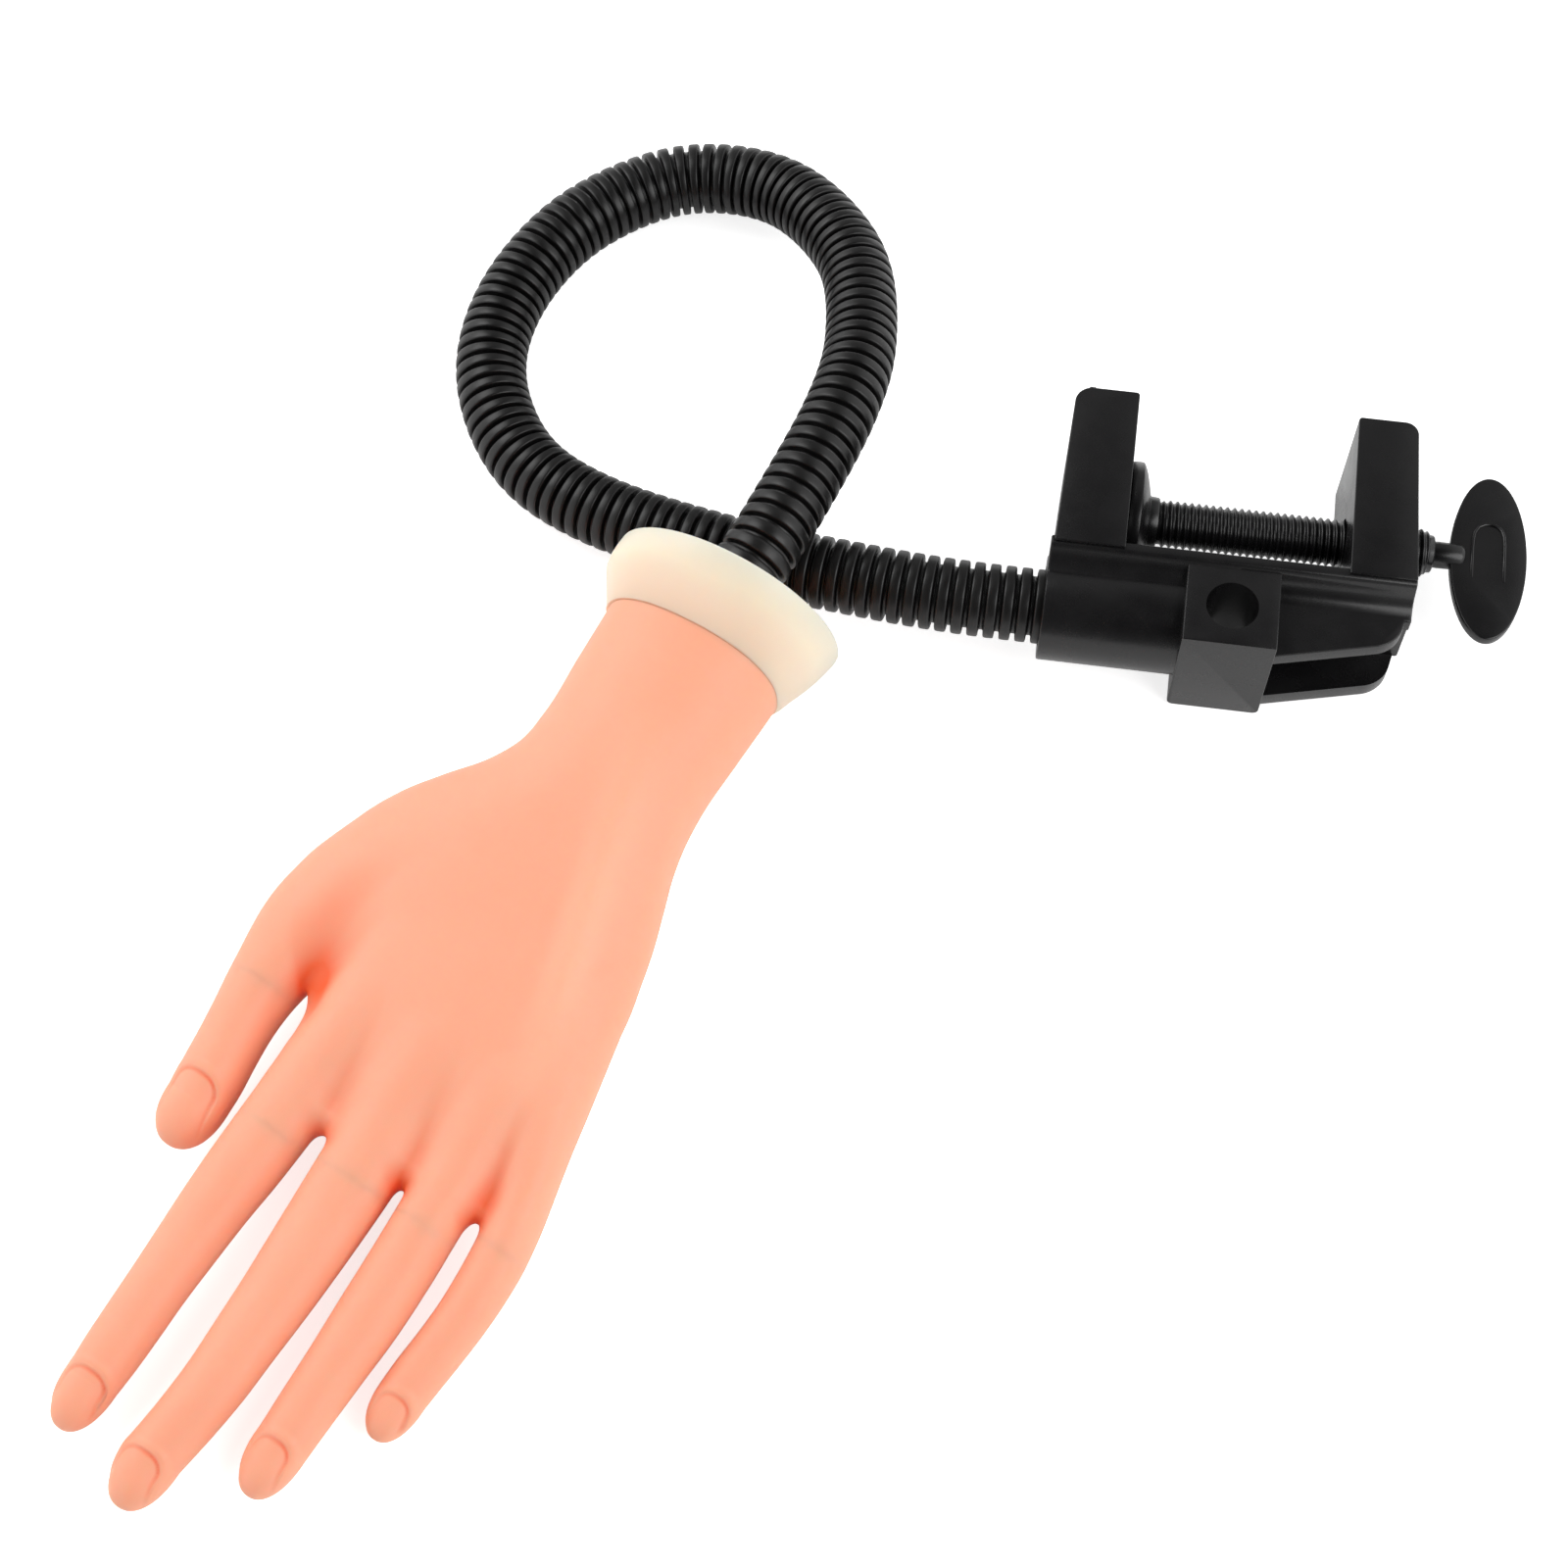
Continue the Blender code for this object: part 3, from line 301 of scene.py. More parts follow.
def merged(name, base, joined, cut, material, smooth_angle=28):
    """One piece from a base with others joined to it and cut from it; the tools are removed."""
    for operation, tools in (("UNION", joined), ("DIFFERENCE", cut)):
        for tool in tools:
            step = base.modifiers.new(tool.name, "BOOLEAN")
            step.operation = operation
            step.solver = "EXACT"
            step.object = tool
    bpy.context.view_layer.update()
    graph = bpy.context.evaluated_depsgraph_get()
    mesh = bpy.data.meshes.new_from_object(base.evaluated_get(graph))
    for item in (base, *joined, *cut):
        bpy.data.objects.remove(item, do_unlink=True)
    mesh.name = name
    mesh.transform(jaw_face)
    mesh.materials.clear()
    mesh.materials.append(material)
    mesh.shade_smooth()
    mesh.set_sharp_from_angle(angle=math.radians(smooth_angle))
    piece = bpy.data.objects.new(name, mesh)
    bpy.context.collection.objects.link(piece)
    return piece


def mm_rows(rows):
    return [tuple(value * MM for value in row) for row in rows]


fixed_jaw = solid("fixed_jaw", prism(rounded(mm_rows([
    (0, -24.6, 0), (0, 22.7, 0.9), (-16.6, 22.7, 4.6), (-18.2, -24.6, 0)])),
    -jaw_half, jaw_half), 0.35 * MM)
screw_jaw = solid("screw_jaw", prism(rounded(mm_rows([
    (57.3, -24.6, 0), (57.3, 22.7, 0.9), (72.9, 22.7, 3.6), (74.5, -24.6, 0)])),
    -jaw_half, jaw_half), 0.35 * MM)
# The spine falls from a low step under the jaws in a hollow curve to the socket and to the tail
def shoulder(name, rows, low, high):
    under = [(y, -z) for y, z in reversed(rows)]
    return solid(name, prism(mm_rows(rows + under), low * MM, high * MM, "yzx"), 0.5 * MM, 50)


spine = shoulder("spine", [
    (-22.7, 17.7), (-24.8, 17.7), (-25.3, 17.6), (-25.7, 17.3), (-26.1, 16.7), (-26.6, 15.9), (-27.3, 15.1),
    (-28.2, 14.4), (-29.3, 13.8), (-30.5, 13.4), (-31.6, 13.2)], -19.0, 30.0)
ledge = shoulder("ledge", [
    (-22.7, 17.7), (-24.8, 17.7), (-25.3, 17.6), (-25.7, 17.3), (-26.1, 16.5), (-26.6, 15.0), (-27.2, 13.5),
    (-28.1, 12.2), (-29.3, 11.2), (-30.8, 10.6), (-32.4, 10.4)], 29.0, 74.6)
socket = solid("socket", turned(mm_rows([(-19.2, 13.6), (28.4, 13.6)]), 96, socket_line * MM), 0.5 * MM)
block = solid("block", prism(rounded(mm_rows([
    (16.4, 16.5, 0), (40.4, 16.5, 0), (40.4, -18.75, 1.6), (16.4, -18.75, 1.6)])),
    -48.2 * MM, -23.7 * MM, "xzy"), 0.4 * MM, 50)
tail = solid("tail", prism(rounded(mm_rows([
    (28.4, -25.7, 0), (28.4, -46.9, 0), (40.4, -46.9, 0), (71.6, -39.2, 8.6), (74.4, -25.7, 0)])),
    -16.0 * MM, 10.5 * MM), 0.6 * MM, 60)
gate_mark = solid("gate_mark", turned(mm_rows([
    (-13.6, 0.5), (-13.1, 1.0), (-11.7, 1.0), (-11.2, 0.5)]), 16, 22.5 * MM, 17.4 * MM))
arm_bore = solid("arm_bore", turned(mm_rows([
    (-22, 10.6), (-18.8, 10.6), (-17.9, 10.0), (-0.7, 10.0)]), 96, socket_line * MM))
screw_bore = solid("screw_bore", turned(mm_rows([(54, 6.7), (78, 6.7)]), 64, screw_line * MM))
pin_x, pin_y, pin_radius = 28.4, -37, 6.7
pin_hole = solid("pin_hole", prism([
    ((pin_x + pin_radius * math.cos(a)) * MM, (pin_y + pin_radius * math.sin(a)) * MM)
    for a in np.linspace(0, 2 * math.pi, 64, endpoint=False)], -22 * MM, 22 * MM))
pocket = solid("pocket", prism(mm_rows([
    (40.4, -30.5), (40.4, -52), (80, -52), (80, -30.5)]), -10.8 * MM, 6.3 * MM), 0.5 * MM)
clamp = merged("clamp_moulding", fixed_jaw, [screw_jaw, ledge, spine, socket, block, tail, gate_mark],
               [arm_bore, screw_bore, pin_hole, pocket], black_abs)
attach(clamp, "clamp")
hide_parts("clamp_frame")


# Pressure pad
# A moulded ABS disc with a dished back and a short hub that snaps on the screw's tip, where it
# stays still while the screw turns.

pad_profile = mm_rows([
    (0.3, 4.0), (0.3, 14.9), (0.5, 15.3), (0.9, 15.5), (3.0, 15.5), (3.4, 15.4), (3.7, 15.0), (4.1, 14.2),
    (4.7, 12.6), (5.3, 10.4), (5.8, 8.2), (6.0, 7.2), (6.3, 6.8), (8.1, 6.7), (8.5, 6.5), (8.7, 6.1),
    (8.7, 5.1), (3.3, 5.1), (3.3, 4.0)])
disc = merged("pressure_disc", solid("disc", turned(pad_profile, 96, screw_line * MM, looped=True)), [], [],
              black_abs)
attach(disc, "pad")
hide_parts("pressure_pad")


# Clamping screw
# A moulded ABS screw with a rounded 1.88 mm thread; outside the jaw the thread runs out into
# three rings and a thinner neck that is fused to the oval turn.

def add_piece(name, points, faces, material, smooth_angle=30):
    mesh = bpy.data.meshes.new(name)
    mesh.from_pydata([tuple(point) for point in points], [], [tuple(face) for face in faces])
    mesh.validate()
    mesh.shade_smooth()
    mesh.set_sharp_from_angle(angle=math.radians(smooth_angle))
    piece = bpy.data.objects.new(name, mesh)
    bpy.context.collection.objects.link(piece)
    mesh.materials.append(material)
    return piece


thread_pitch = 1.88


def end_caps(rings, sides):
    """The faces that close the first and the last ring of a rod."""
    return [tuple(reversed(range(sides))), tuple(range((rings - 1) * sides, rings * sides))]


def thread_radius(x, angle):
    """Radius in mm: a narrow rounded crest along a helix, run out at both ends."""
    phase = (x / thread_pitch - angle / (2 * math.pi)) % 1.0
    wave = (0.5 + 0.5 * math.cos(2 * math.pi * phase)) ** 1.3
    ends = min(1.0, max(0.0, (x - 8.9) / 1.2)) * min(1.0, max(0.0, (79.2 - x) / 0.6))
    return 5.5 + 0.8 * wave * ends


screw_sides = 72
screw_places = [3.65, 3.8, 4.2, 8.6, 8.75] + list(np.arange(8.85, 79.3, thread_pitch / 12))
screw_tail = [
    (79.4, 5.2), (79.6, 4.95), (80.5, 4.9), (80.8, 4.6), (80.9, 3.7), (81.1, 3.4), (82.0, 3.5), (87.9, 3.4),
    (88.7, 3.0), (89.2, 2.5), (89.45, 1.7), (89.5, 0.8)]
points = []
for x in screw_places:
    for i in range(screw_sides):
        angle = 2 * math.pi * i / screw_sides
        radius = thread_radius(x, angle) if x > 8.8 else (4.1 if x < 3.7 else 4.7)
        points.append((x, screw_line + radius * math.cos(angle), radius * math.sin(angle)))
for x, radius in screw_tail:
    for i in range(screw_sides):
        angle = 2 * math.pi * i / screw_sides
        points.append((x, screw_line + radius * math.cos(angle), radius * math.sin(angle)))
screw_rings = len(screw_places) + len(screw_tail)
faces = ring_faces(screw_rings, screw_sides) + end_caps(screw_rings, screw_sides)
screw = add_piece("threaded_screw", mm_rows(points), faces, black_abs, 50)
screw.data.transform(jaw_face)
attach(screw, "screw")
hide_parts("clamp_screw")


# Thumb turn
# A flat oval ABS plate with a soft rim and a thin raised arch moulded on its upper face; it is
# one with the screw's neck.

turn_outline = [((95.3 + 10 * math.cos(a)) * MM, (screw_line + 24.5 * math.sin(a)) * MM)
                for a in np.linspace(0, 2 * math.pi, 96, endpoint=False)]
plate = solid("plate", prism(turn_outline, -1.5 * MM, 1.5 * MM), 0.4 * MM, 50)
arch_path = [(91.0, -11.5), (91.0, -9.0), (91.0, -6.0), (91.0, -3.0), (91.1, 0.0), (91.5, 2.2), (92.5, 4.0),
             (94.0, 4.9), (95.8, 5.1), (97.4, 4.6), (98.6, 3.4), (99.2, 1.6), (99.4, -1.0), (99.4, -4.0),
             (99.4, -7.0), (99.4, -9.5), (99.4, -12.0)]
arch = bmesh.new()
rings = []
for i, (x, y) in enumerate(arch_path):
    ahead = Vector(arch_path[min(i + 1, len(arch_path) - 1)]) - Vector(arch_path[max(i - 1, 0)])
    across = Vector((ahead.y, -ahead.x)).normalized()
    fade = min(1.0, (min(i, len(arch_path) - 1 - i) + 0.4) / 2.5)
    ring = []
    for offset, level in ((-0.42, 1.2), (-0.34, 1.5 + 0.38 * fade), (-0.14, 1.5 + 0.52 * fade),
                          (0.14, 1.5 + 0.52 * fade), (0.34, 1.5 + 0.38 * fade), (0.42, 1.2)):
        beside = ((x + across.x * offset) * MM, (y + across.y * offset) * MM, level * MM)
        ring.append(arch.verts.new(beside))
    rings.append(ring)
for first, second in zip(rings, rings[1:]):
    for i in range(len(first)):
        j = (i + 1) % len(first)
        arch.faces.new((first[i], first[j], second[j], second[i]))
arch.faces.new(rings[0])
arch.faces.new(rings[-1])
bmesh.ops.recalc_face_normals(arch, faces=arch.faces)
turn = merged("oval_turn", plate, [solid("arch", arch)], [], black_abs, 32)
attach(turn, "screw")
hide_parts("thumb_turn")


# Gooseneck sleeve
# Blow-moulded polyethylene conduit: broad round-shouldered ribs with deep narrow grooves, drawn
# over the arm's chain of links. It is one tube, parted here in groove bottoms into stretches, each
# over two links.

# Polyethylene sleeve: softer highlights that run along each rib's shoulder.
black_sleeve = moulded_plastic("black_polyethylene", ("#0b0b0b", "#131212"), 0.35, 0.05, 0.0006, 0.010)
black_sleeve.node_tree.nodes["Principled BSDF"].inputs["Specular IOR Level"].default_value = 0.38

# The arm's line from the clamp's socket round the loop to the wrist
ROUTE = [
    (0.00840, -0.03430, 0.01875),
    (-0.00960, -0.03430, 0.01875),
    (-0.03360, -0.03398, 0.01859),
    (-0.05808, -0.03174, 0.01747),
    (-0.09440, -0.02630, 0.01491),
    (-0.13152, -0.01574, 0.01155),
    (-0.15408, -0.00086, 0.00995),
    (-0.16656, 0.02426, 0.00979),
    (-0.16464, 0.05178, 0.00979),
    (-0.14976, 0.07850, 0.00979),
    (-0.12400, 0.09578, 0.01011),
    (-0.09520, 0.09274, 0.01363),
    (-0.07344, 0.06810, 0.02195),
    (-0.06624, 0.03674, 0.02995),
    (-0.06848, 0.00698, 0.03619),
    (-0.08072, -0.03154, 0.03727),
    (-0.08880, -0.04902, 0.03491),
    (-0.10379, -0.08146, 0.03052),
]
knots = np.array([ROUTE[0], *ROUTE, ROUTE[-1]])
line = []
for i in range(len(ROUTE) - 1):
    p0, p1, p2, p3 = knots[i:i + 4]
    for t in np.arange(12) / 12:
        line.append(0.5 * (2 * p1 + (p2 - p0) * t + (2 * p0 - 5 * p1 + 4 * p2 - p3) * t ** 2
                           + (3 * p1 - p0 - 3 * p2 + p3) * t ** 3))
line = np.array([*line, knots[-1]])
travel = np.concatenate([[0], np.cumsum(np.linalg.norm(np.diff(line, axis=0), axis=1))])
travel -= travel[12]
# The bends' knots are eased, so that neighbouring ribs do not turn in steps
even = np.arange(travel[0], travel[-1], 0.001)
smooth = np.stack([np.interp(even, travel, line[:, k]) for k in range(3)], axis=1)
for _ in range(6):
    smooth[1:-1] = (smooth[:-2] + 2 * smooth[1:-1] + smooth[2:]) / 4


def arm_frames(places):
    """Points of the arm's line with the two directions across it."""
    centre = np.stack([np.interp(places, even, smooth[:, k]) for k in range(3)], axis=1)
    ahead = np.stack([np.interp(places + 0.002, even, smooth[:, k]) for k in range(3)], axis=1)
    behind = np.stack([np.interp(places - 0.002, even, smooth[:, k]) for k in range(3)], axis=1)
    along = (ahead - behind) / np.linalg.norm(ahead - behind, axis=1, keepdims=True)
    side = np.cross((0, 0, 1), along)
    side /= np.linalg.norm(side, axis=1, keepdims=True)
    return centre, side, np.cross(along, side)


# One rib from groove centre to groove centre: share of the pitch, radius in mm
RIB = [
    (0.0, 7.70), (0.105, 7.72), (0.135, 7.95), (0.148, 8.50), (0.160, 9.08), (0.178, 9.40),
    (0.215, 9.60), (0.30, 9.68), (0.50, 9.70), (0.70, 9.68), (0.785, 9.60), (0.822, 9.40),
    (0.840, 9.08), (0.852, 8.50), (0.865, 7.95), (0.895, 7.72)]
# Grooves are wider where the sleeve runs straight and closer in the loop
pitch_places = [-0.02, 0.05, 0.15, 0.30, 0.36, 0.50]
pitch_values = [0.00415, 0.00410, 0.00375, 0.00385, 0.00425, 0.00440]
grooves = [-0.0176]
while grooves[-1] < 0.4895:
    grooves.append(grooves[-1] + np.interp(grooves[-1], pitch_places, pitch_values))
grooves = np.array(grooves)
bends = [0.0519, 0.1260, 0.2001, 0.2742, 0.3483, 0.4199]
parting = [0.0150] + [(a + b) / 2 for a, b in zip(bends, bends[1:])] + [0.4450]
parting = [int(np.argmin(abs(grooves - place))) for place in parting]
stretches = list(zip([0] + parting, parting + [len(grooves) - 1]))
sleeve_sides = 48
bore_radius = 6.9
for index, (low, high) in enumerate(stretches):
    places, radii = [], []
    for a, b in zip(grooves[low:high], grooves[low + 1:high + 1]):
        for share, radius in RIB:
            places.append(a + (b - a) * share)
            radii.append(radius)
    places.append(grooves[high])
    radii.append(RIB[0][1])
    inner = np.linspace(grooves[high], grooves[low], max(4, high - low))
    places.extend(inner)
    radii.extend([bore_radius] * len(inner))
    centre, side, up = arm_frames(np.array(places))
    angle = 2 * math.pi * np.arange(sleeve_sides) / sleeve_sides
    ring = np.cos(angle)[None, :, None] * side[:, None, :] + np.sin(angle)[None, :, None] * up[:, None, :]
    points = (centre[:, None, :] + np.array(radii)[:, None, None] * MM * ring).reshape(-1, 3)
    faces = [(b, a, d, c) for a, b, c, d in ring_faces(len(places), sleeve_sides, looped=True)]
    piece = add_piece("sleeve_stretch_%d" % index, points, faces, black_sleeve, 60)
    first, last = arm_frames(np.array([grooves[low] + 0.002, grooves[high] - 0.002]))[0]
    if index == 0:
        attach(piece, "clamp")
    elif index == len(stretches) - 1:
        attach(piece, "hand")
    else:
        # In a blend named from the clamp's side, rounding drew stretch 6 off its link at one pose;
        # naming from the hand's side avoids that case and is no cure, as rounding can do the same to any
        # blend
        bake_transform(piece)
    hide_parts(*["gooseneck_sleeve_%d" % k for k in (index, index + 1) if 1 <= k <= 7])


# Links, hub plate and wrist plug
# The chain inside the sleeve and the hub plate of the hand's wires are drawn steel, the plug in
# the wrist is ABS. The skins hide them, so they keep the solids' own shapes.

steel, tree, shader = new_material("steel_wire")
place = add_node(tree, "ShaderNodeTexCoord")
streaks = add_node(tree, "ShaderNodeTexNoise", {"Vector": (place, "Object"), "Scale": 900.0, "Detail": 3.0})
shine = add_node(tree, "ShaderNodeMapRange", {
    "Value": (streaks, "Fac"), "To Min": 0.28, "To Max": 0.42})
tone = add_node(tree, "ShaderNodeMix", {
    0: (streaks, "Fac"), 6: srgb("#8e8f91"), 7: srgb("#a9aaac")}, data_type="RGBA")
link(tree, tone, 2, shader, "Base Color")
link(tree, shine, "Result", shader, "Roughness")
shader.inputs["Metallic"].default_value = 1.0
for name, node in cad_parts.items():
    if name.startswith(("gooseneck_link", "wire_frame")):
        for place in node.material_slots:
            place.material = steel
    if name == "wrist_plug":
        for place in node.material_slots:
            place.material = black_abs


# Cuff
# A cast ring of milky, slightly translucent silicone, flared from the wrist to a round rim; it
# grips the hand's end. Its colour goes from a darker grey at the rim, which is painted shade, to warm
# where the skin shows through.

hand_frame = Matrix.Translation((-0.08880, -0.04902, 0.03491)) @ Matrix((
    (-0.41633, 0.90778, -0.05112), (-0.90101, -0.41945, -0.11063), (-0.12187, 0.0, 0.99255))).to_4x4()
to_row = np.array(hand_frame)


def hand_to_row(points):
    """Millimetres in the hand's frame to metres in the row's frame."""
    return np.asarray(points) * MM @ to_row[:3, :3].T + to_row[:3, 3]


# Outer wall then inner wall: place, centre across, half width, half height
cuff_rows = [
    (0.20, 0.8, 30.2, 31.8), (0.0, 0.8, 30.4, 32.0), (0.05, 0.8, 30.75, 32.35), (0.4, 0.8, 31.0, 32.6),
    (1.2, 0.8, 31.0, 32.5), (4.0, 0.5, 30.8, 32.0), (7.0, 0.2, 30.4, 31.2), (10.0, 0.0, 29.8, 29.8),
    (13.0, 0.2, 28.6, 28.0), (16.0, 0.5, 27.3, 26.0), (19.0, 0.9, 26.2, 23.7), (21.2, 1.0, 25.4, 21.7),
    (21.8, 1.1, 25.1, 21.2), (22.1, 1.1, 24.8, 20.8), (22.2, 1.1, 24.3, 20.1), (16.0, 1.0, 24.6, 20.6),
    (11.0, 0.7, 25.4, 24.0), (7.0, 0.6, 28.0, 28.6), (3.5, 0.8, 29.0, 30.5), (0.9, 0.8, 29.5, 31.1),
    (0.4, 0.8, 29.8, 31.4)]
cuff_sides = 96
cuff_length = 22
# The thin lip round the wrist, as rows of the list above
lip = (13, 14, 15)
points = []
for x, shift, half_width, half_height in cuff_rows:
    square = 2 + 0.25 * min(1, x / 18)
    for i in range(cuff_sides):
        angle = 2 * math.pi * i / cuff_sides
        c, s = math.cos(angle), math.sin(angle)
        y = shift + half_width * math.copysign(abs(c) ** (2 / square), c)
        z = half_height * math.copysign(abs(s) ** (2 / square), s)
        # Rim and lip are cut a little askew, and the rim stands back from the end of the solid
        askew_rim = (1 - x / cuff_length) * (2.7 - 0.083 * y)
        askew_lip = (0.5 + 0.045 * y + 0.1 * z) * x / cuff_length
        points.append((x + askew_rim - askew_lip, y, z))
faces = ring_faces(len(cuff_rows), cuff_sides, looped=True)
silicone, tree, shader = new_material("cream_silicone")
cuff = add_piece("silicone_cuff", hand_to_row(points), faces, silicone, 60)
bm = bmesh.new()
bm.from_mesh(cuff.data)
bmesh.ops.recalc_face_normals(bm, faces=bm.faces)
bm.to_mesh(cuff.data)
bm.free()
# How far each point is from the rim, for the change from the grey painted shade at the rim to warm; the lip,
# thin as a film, takes the colour of the skin under it
rim_shade_to_warmth_value = []
for i, row in enumerate(cuff_rows):
    rim_shade_to_warmth_value.extend([1.0 if i in lip else 0.8 * row[0] / cuff_length] * cuff_sides)
warmth = cuff.data.attributes.new("warmth", "FLOAT", "POINT")
warmth.data.foreach_set("value", rim_shade_to_warmth_value)
depth = add_node(tree, "ShaderNodeAttribute", attribute_name="warmth")
place = add_node(tree, "ShaderNodeTexCoord")
cloud = add_node(tree, "ShaderNodeTexNoise", {"Vector": (place, "Object"), "Scale": 60.0, "Detail": 3.0})
mixed = add_node(tree, "ShaderNodeMath", {0: (cloud, "Fac"), 1: 0.2, 2: (depth, "Fac")},
                 operation="MULTIPLY_ADD")
ramp = add_node(tree, "ShaderNodeValToRGB", {"Fac": (mixed, 0)})
# Painted shade: the rim end of the ramp is a darker, greyer cream
ramp.color_ramp.elements[0].color = srgb("#e3dfcf")
ramp.color_ramp.elements[0].position = 0.10
ramp.color_ramp.elements[1].color = srgb("#ffb08c")
ramp.color_ramp.elements[1].position = 1.0
for position, code in ((0.42, "#f7e5ce"), (0.90, "#fbd8bf")):
    ramp.color_ramp.elements.new(position).color = srgb(code)
link(tree, ramp, "Color", shader, "Base Color")
shader.inputs["Roughness"].default_value = 0.42
shader.inputs["IOR"].default_value = 1.41
shader.inputs["Subsurface Weight"].default_value = 0.7
shader.inputs["Subsurface Radius"].default_value = (1.0, 0.75, 0.55)
shader.inputs["Subsurface Scale"].default_value = 0.004
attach(cuff, "hand")
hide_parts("cuff")


# Hand
# A slush-moulded soft vinyl left hand with a satin skin: no creases, but soft valleys behind
# each finger web, knuckles over the finger roots and a shallow nail bed on every finger, ringed
# by a raised cuticle. The skin is found as a level surface of smoothly joined rounded bodies.

def curve(x, places, values):
    """A smooth curve through a table."""
    places, values = np.asarray(places, float), np.asarray(values, float)
    slopes = np.gradient(values, places)
    x = np.clip(x, places[0], places[-1])
    i = np.clip(np.searchsorted(places, x) - 1, 0, len(places) - 2)
    step = places[i + 1] - places[i]
    t = (x - places[i]) / step
    return ((1 + 2 * t) * (1 - t) ** 2 * values[i] + t * (1 - t) ** 2 * step * slopes[i]
            + t * t * (3 - 2 * t) * values[i + 1] + t * t * (t - 1) * step * slopes[i + 1])


def loft(rows, start_cap, end_cap, power, x, y, z):
    """Distance to a body of rounded sections: place, edge, edge, top, underside."""
    table = np.array(rows, float)
    places = table[:, 0]
    low, high, top, under = (curve(x, places, table[:, k]) for k in range(1, 5))
    half, rise = (high - low) / 2, (top - under) / 2
    u = np.maximum(0, (x - places[-1]) / end_cap) + np.maximum(0, (places[0] - x) / start_cap)
    v = np.abs(y - (low + high) / 2) / half
    w = np.abs(z - (top + under) / 2) / rise
    cap = np.where(x > places[-1], end_cap, start_cap)
    total = u ** power + v ** power + w ** power
    reach = np.maximum(total, 1e-6) ** (1 / power)
    slope = (np.sqrt((u ** (power - 1) / cap) ** 2 + (v ** (power - 1) / half) ** 2
                     + (w ** (power - 1) / rise) ** 2) * np.maximum(reach, 0.05) ** (1 - power))
    return (reach - 1) / np.maximum(slope, 1 / (3 * np.maximum(half, rise)))


def join(a, b, radius):
    h = np.clip(0.5 + 0.5 * (b - a) / radius, 0, 1)
    return b + (a - b) * h - radius * h * (1 - h)


PALM = [
    (10, -24.0, 26.0, 20.9, -20.9), (24, -23.1, 26.0, 20.7, -20.2), (38, -22.1, 25.9, 21.0, -18.6),
    (55, -21.0, 26.0, 20.9, -16.6), (64, -22.1, 27.0, 20.4, -16.0), (72, -26.5, 28.7, 19.6, -16.2),
    (81, -34.4, 31.6, 18.6, -16.8), (90, -41.4, 34.5, 17.6, -17.0), (99, -46.2, 36.8, 16.8, -16.8),
    (109, -48.9, 38.9, 16.2, -16.2), (118, -48.6, 40.4, 15.7, -15.0), (127, -44.4, 41.6, 15.3, -13.6),
    (135, -38.2, 42.4, 14.7, -12.2), (142, -32.8, 42.4, 13.7, -10.8), (148, -28.8, 42.0, 12.5, -9.6),
    (153, -27.5, 41.4, 11.3, -8.6), (158, -26.6, 40.8, 10.0, -7.6), (162, -26.0, 40.2, 9.2, -7.0),
    (165, -25.8, 39.6, 8.9, -6.7)]
FINGERS = {
    "thumb": [
        (96, -38.0, -16.0, 11.5, -14.0), (105, -45.6, -20.6, 12.4, -14.0), (112, -49.9, -23.6, 12.6, -13.4),
        (120, -52.6, -26.0, 12.0, -12.8), (130, -53.7, -28.9, 11.2, -12.0), (138, -53.1, -31.2, 10.5, -11.5),
        (144, -52.2, -32.8, 10.0, -11.0), (150, -51.4, -33.7, 9.4, -10.6), (157, -50.2, -33.9, 9.0, -10.3),
        (165, -49.1, -33.2, 8.6, -10.0), (173, -48.3, -32.2, 8.0, -9.8), (180, -47.5, -31.9, 7.2, -9.5)],
    "index": [
        (140, -27.2, -7.5, 12.0, -7.6), (151, -27.1, -8.3, 11.7, -7.8), (162, -27.5, -9.0, 11.2, -7.6),
        (173, -28.0, -9.7, 10.6, -7.2), (186, -28.4, -10.5, 10.0, -6.6), (198, -28.4, -11.6, 9.7, -5.9),
        (210, -28.0, -12.3, 9.5, -5.3), (221, -27.6, -12.8, 9.6, -4.9), (232, -27.4, -12.9, 9.5, -4.6),
        (240, -27.2, -13.1, 9.3, -4.4), (247.4, -26.7, -13.6, 9.0, -4.2)],
    "middle": [
        (140, -6.0, 14.2, 13.4, -6.6), (151, -5.7, 14.8, 12.9, -6.6), (162, -5.2, 15.2, 12.4, -6.2),
        (174, -4.9, 15.3, 11.9, -5.8), (186, -4.3, 15.2, 11.5, -5.2), (199, -3.6, 14.9, 11.2, -4.4),
        (211, -3.0, 14.4, 11.0, -3.7), (221, -2.7, 13.8, 11.1, -3.3), (232, -2.5, 13.2, 11.1, -3.1),
        (242, -3.1, 12.0, 10.8, -3.1), (253.6, -4.5, 10.1, 10.3, -3.2)],
    "ring": [
        (140, 16.0, 33.5, 12.4, -6.4), (151, 16.7, 34.0, 11.9, -6.7), (162, 17.4, 34.4, 11.3, -6.7),
        (172, 17.9, 34.2, 10.8, -6.6), (186, 18.5, 34.8, 10.2, -6.2), (201, 18.9, 34.9, 9.5, -5.7),
        (215, 19.4, 34.1, 8.9, -5.3), (228, 19.6, 33.4, 8.5, -5.1), (236.4, 19.8, 33.0, 8.1, -5.1)],
    "little": [
        (112, 22.0, 37.0, 9.0, -7.0), (124, 25.0, 41.0, 10.0, -7.2), (136, 29.2, 44.2, 10.2, -7.5),
        (150, 33.4, 47.2, 9.5, -7.9), (165, 36.9, 50.3, 8.3, -8.1),
        (173, 38.0, 51.4, 7.7, -8.0), (181, 38.6, 51.7, 7.0, -7.9), (190, 38.8, 51.4, 6.2, -7.8),
        (198, 38.3, 50.7, 5.5, -7.7), (206, 37.5, 49.8, 4.8, -7.8), (211.4, 37.2, 49.2, 4.2, -7.9)],
}
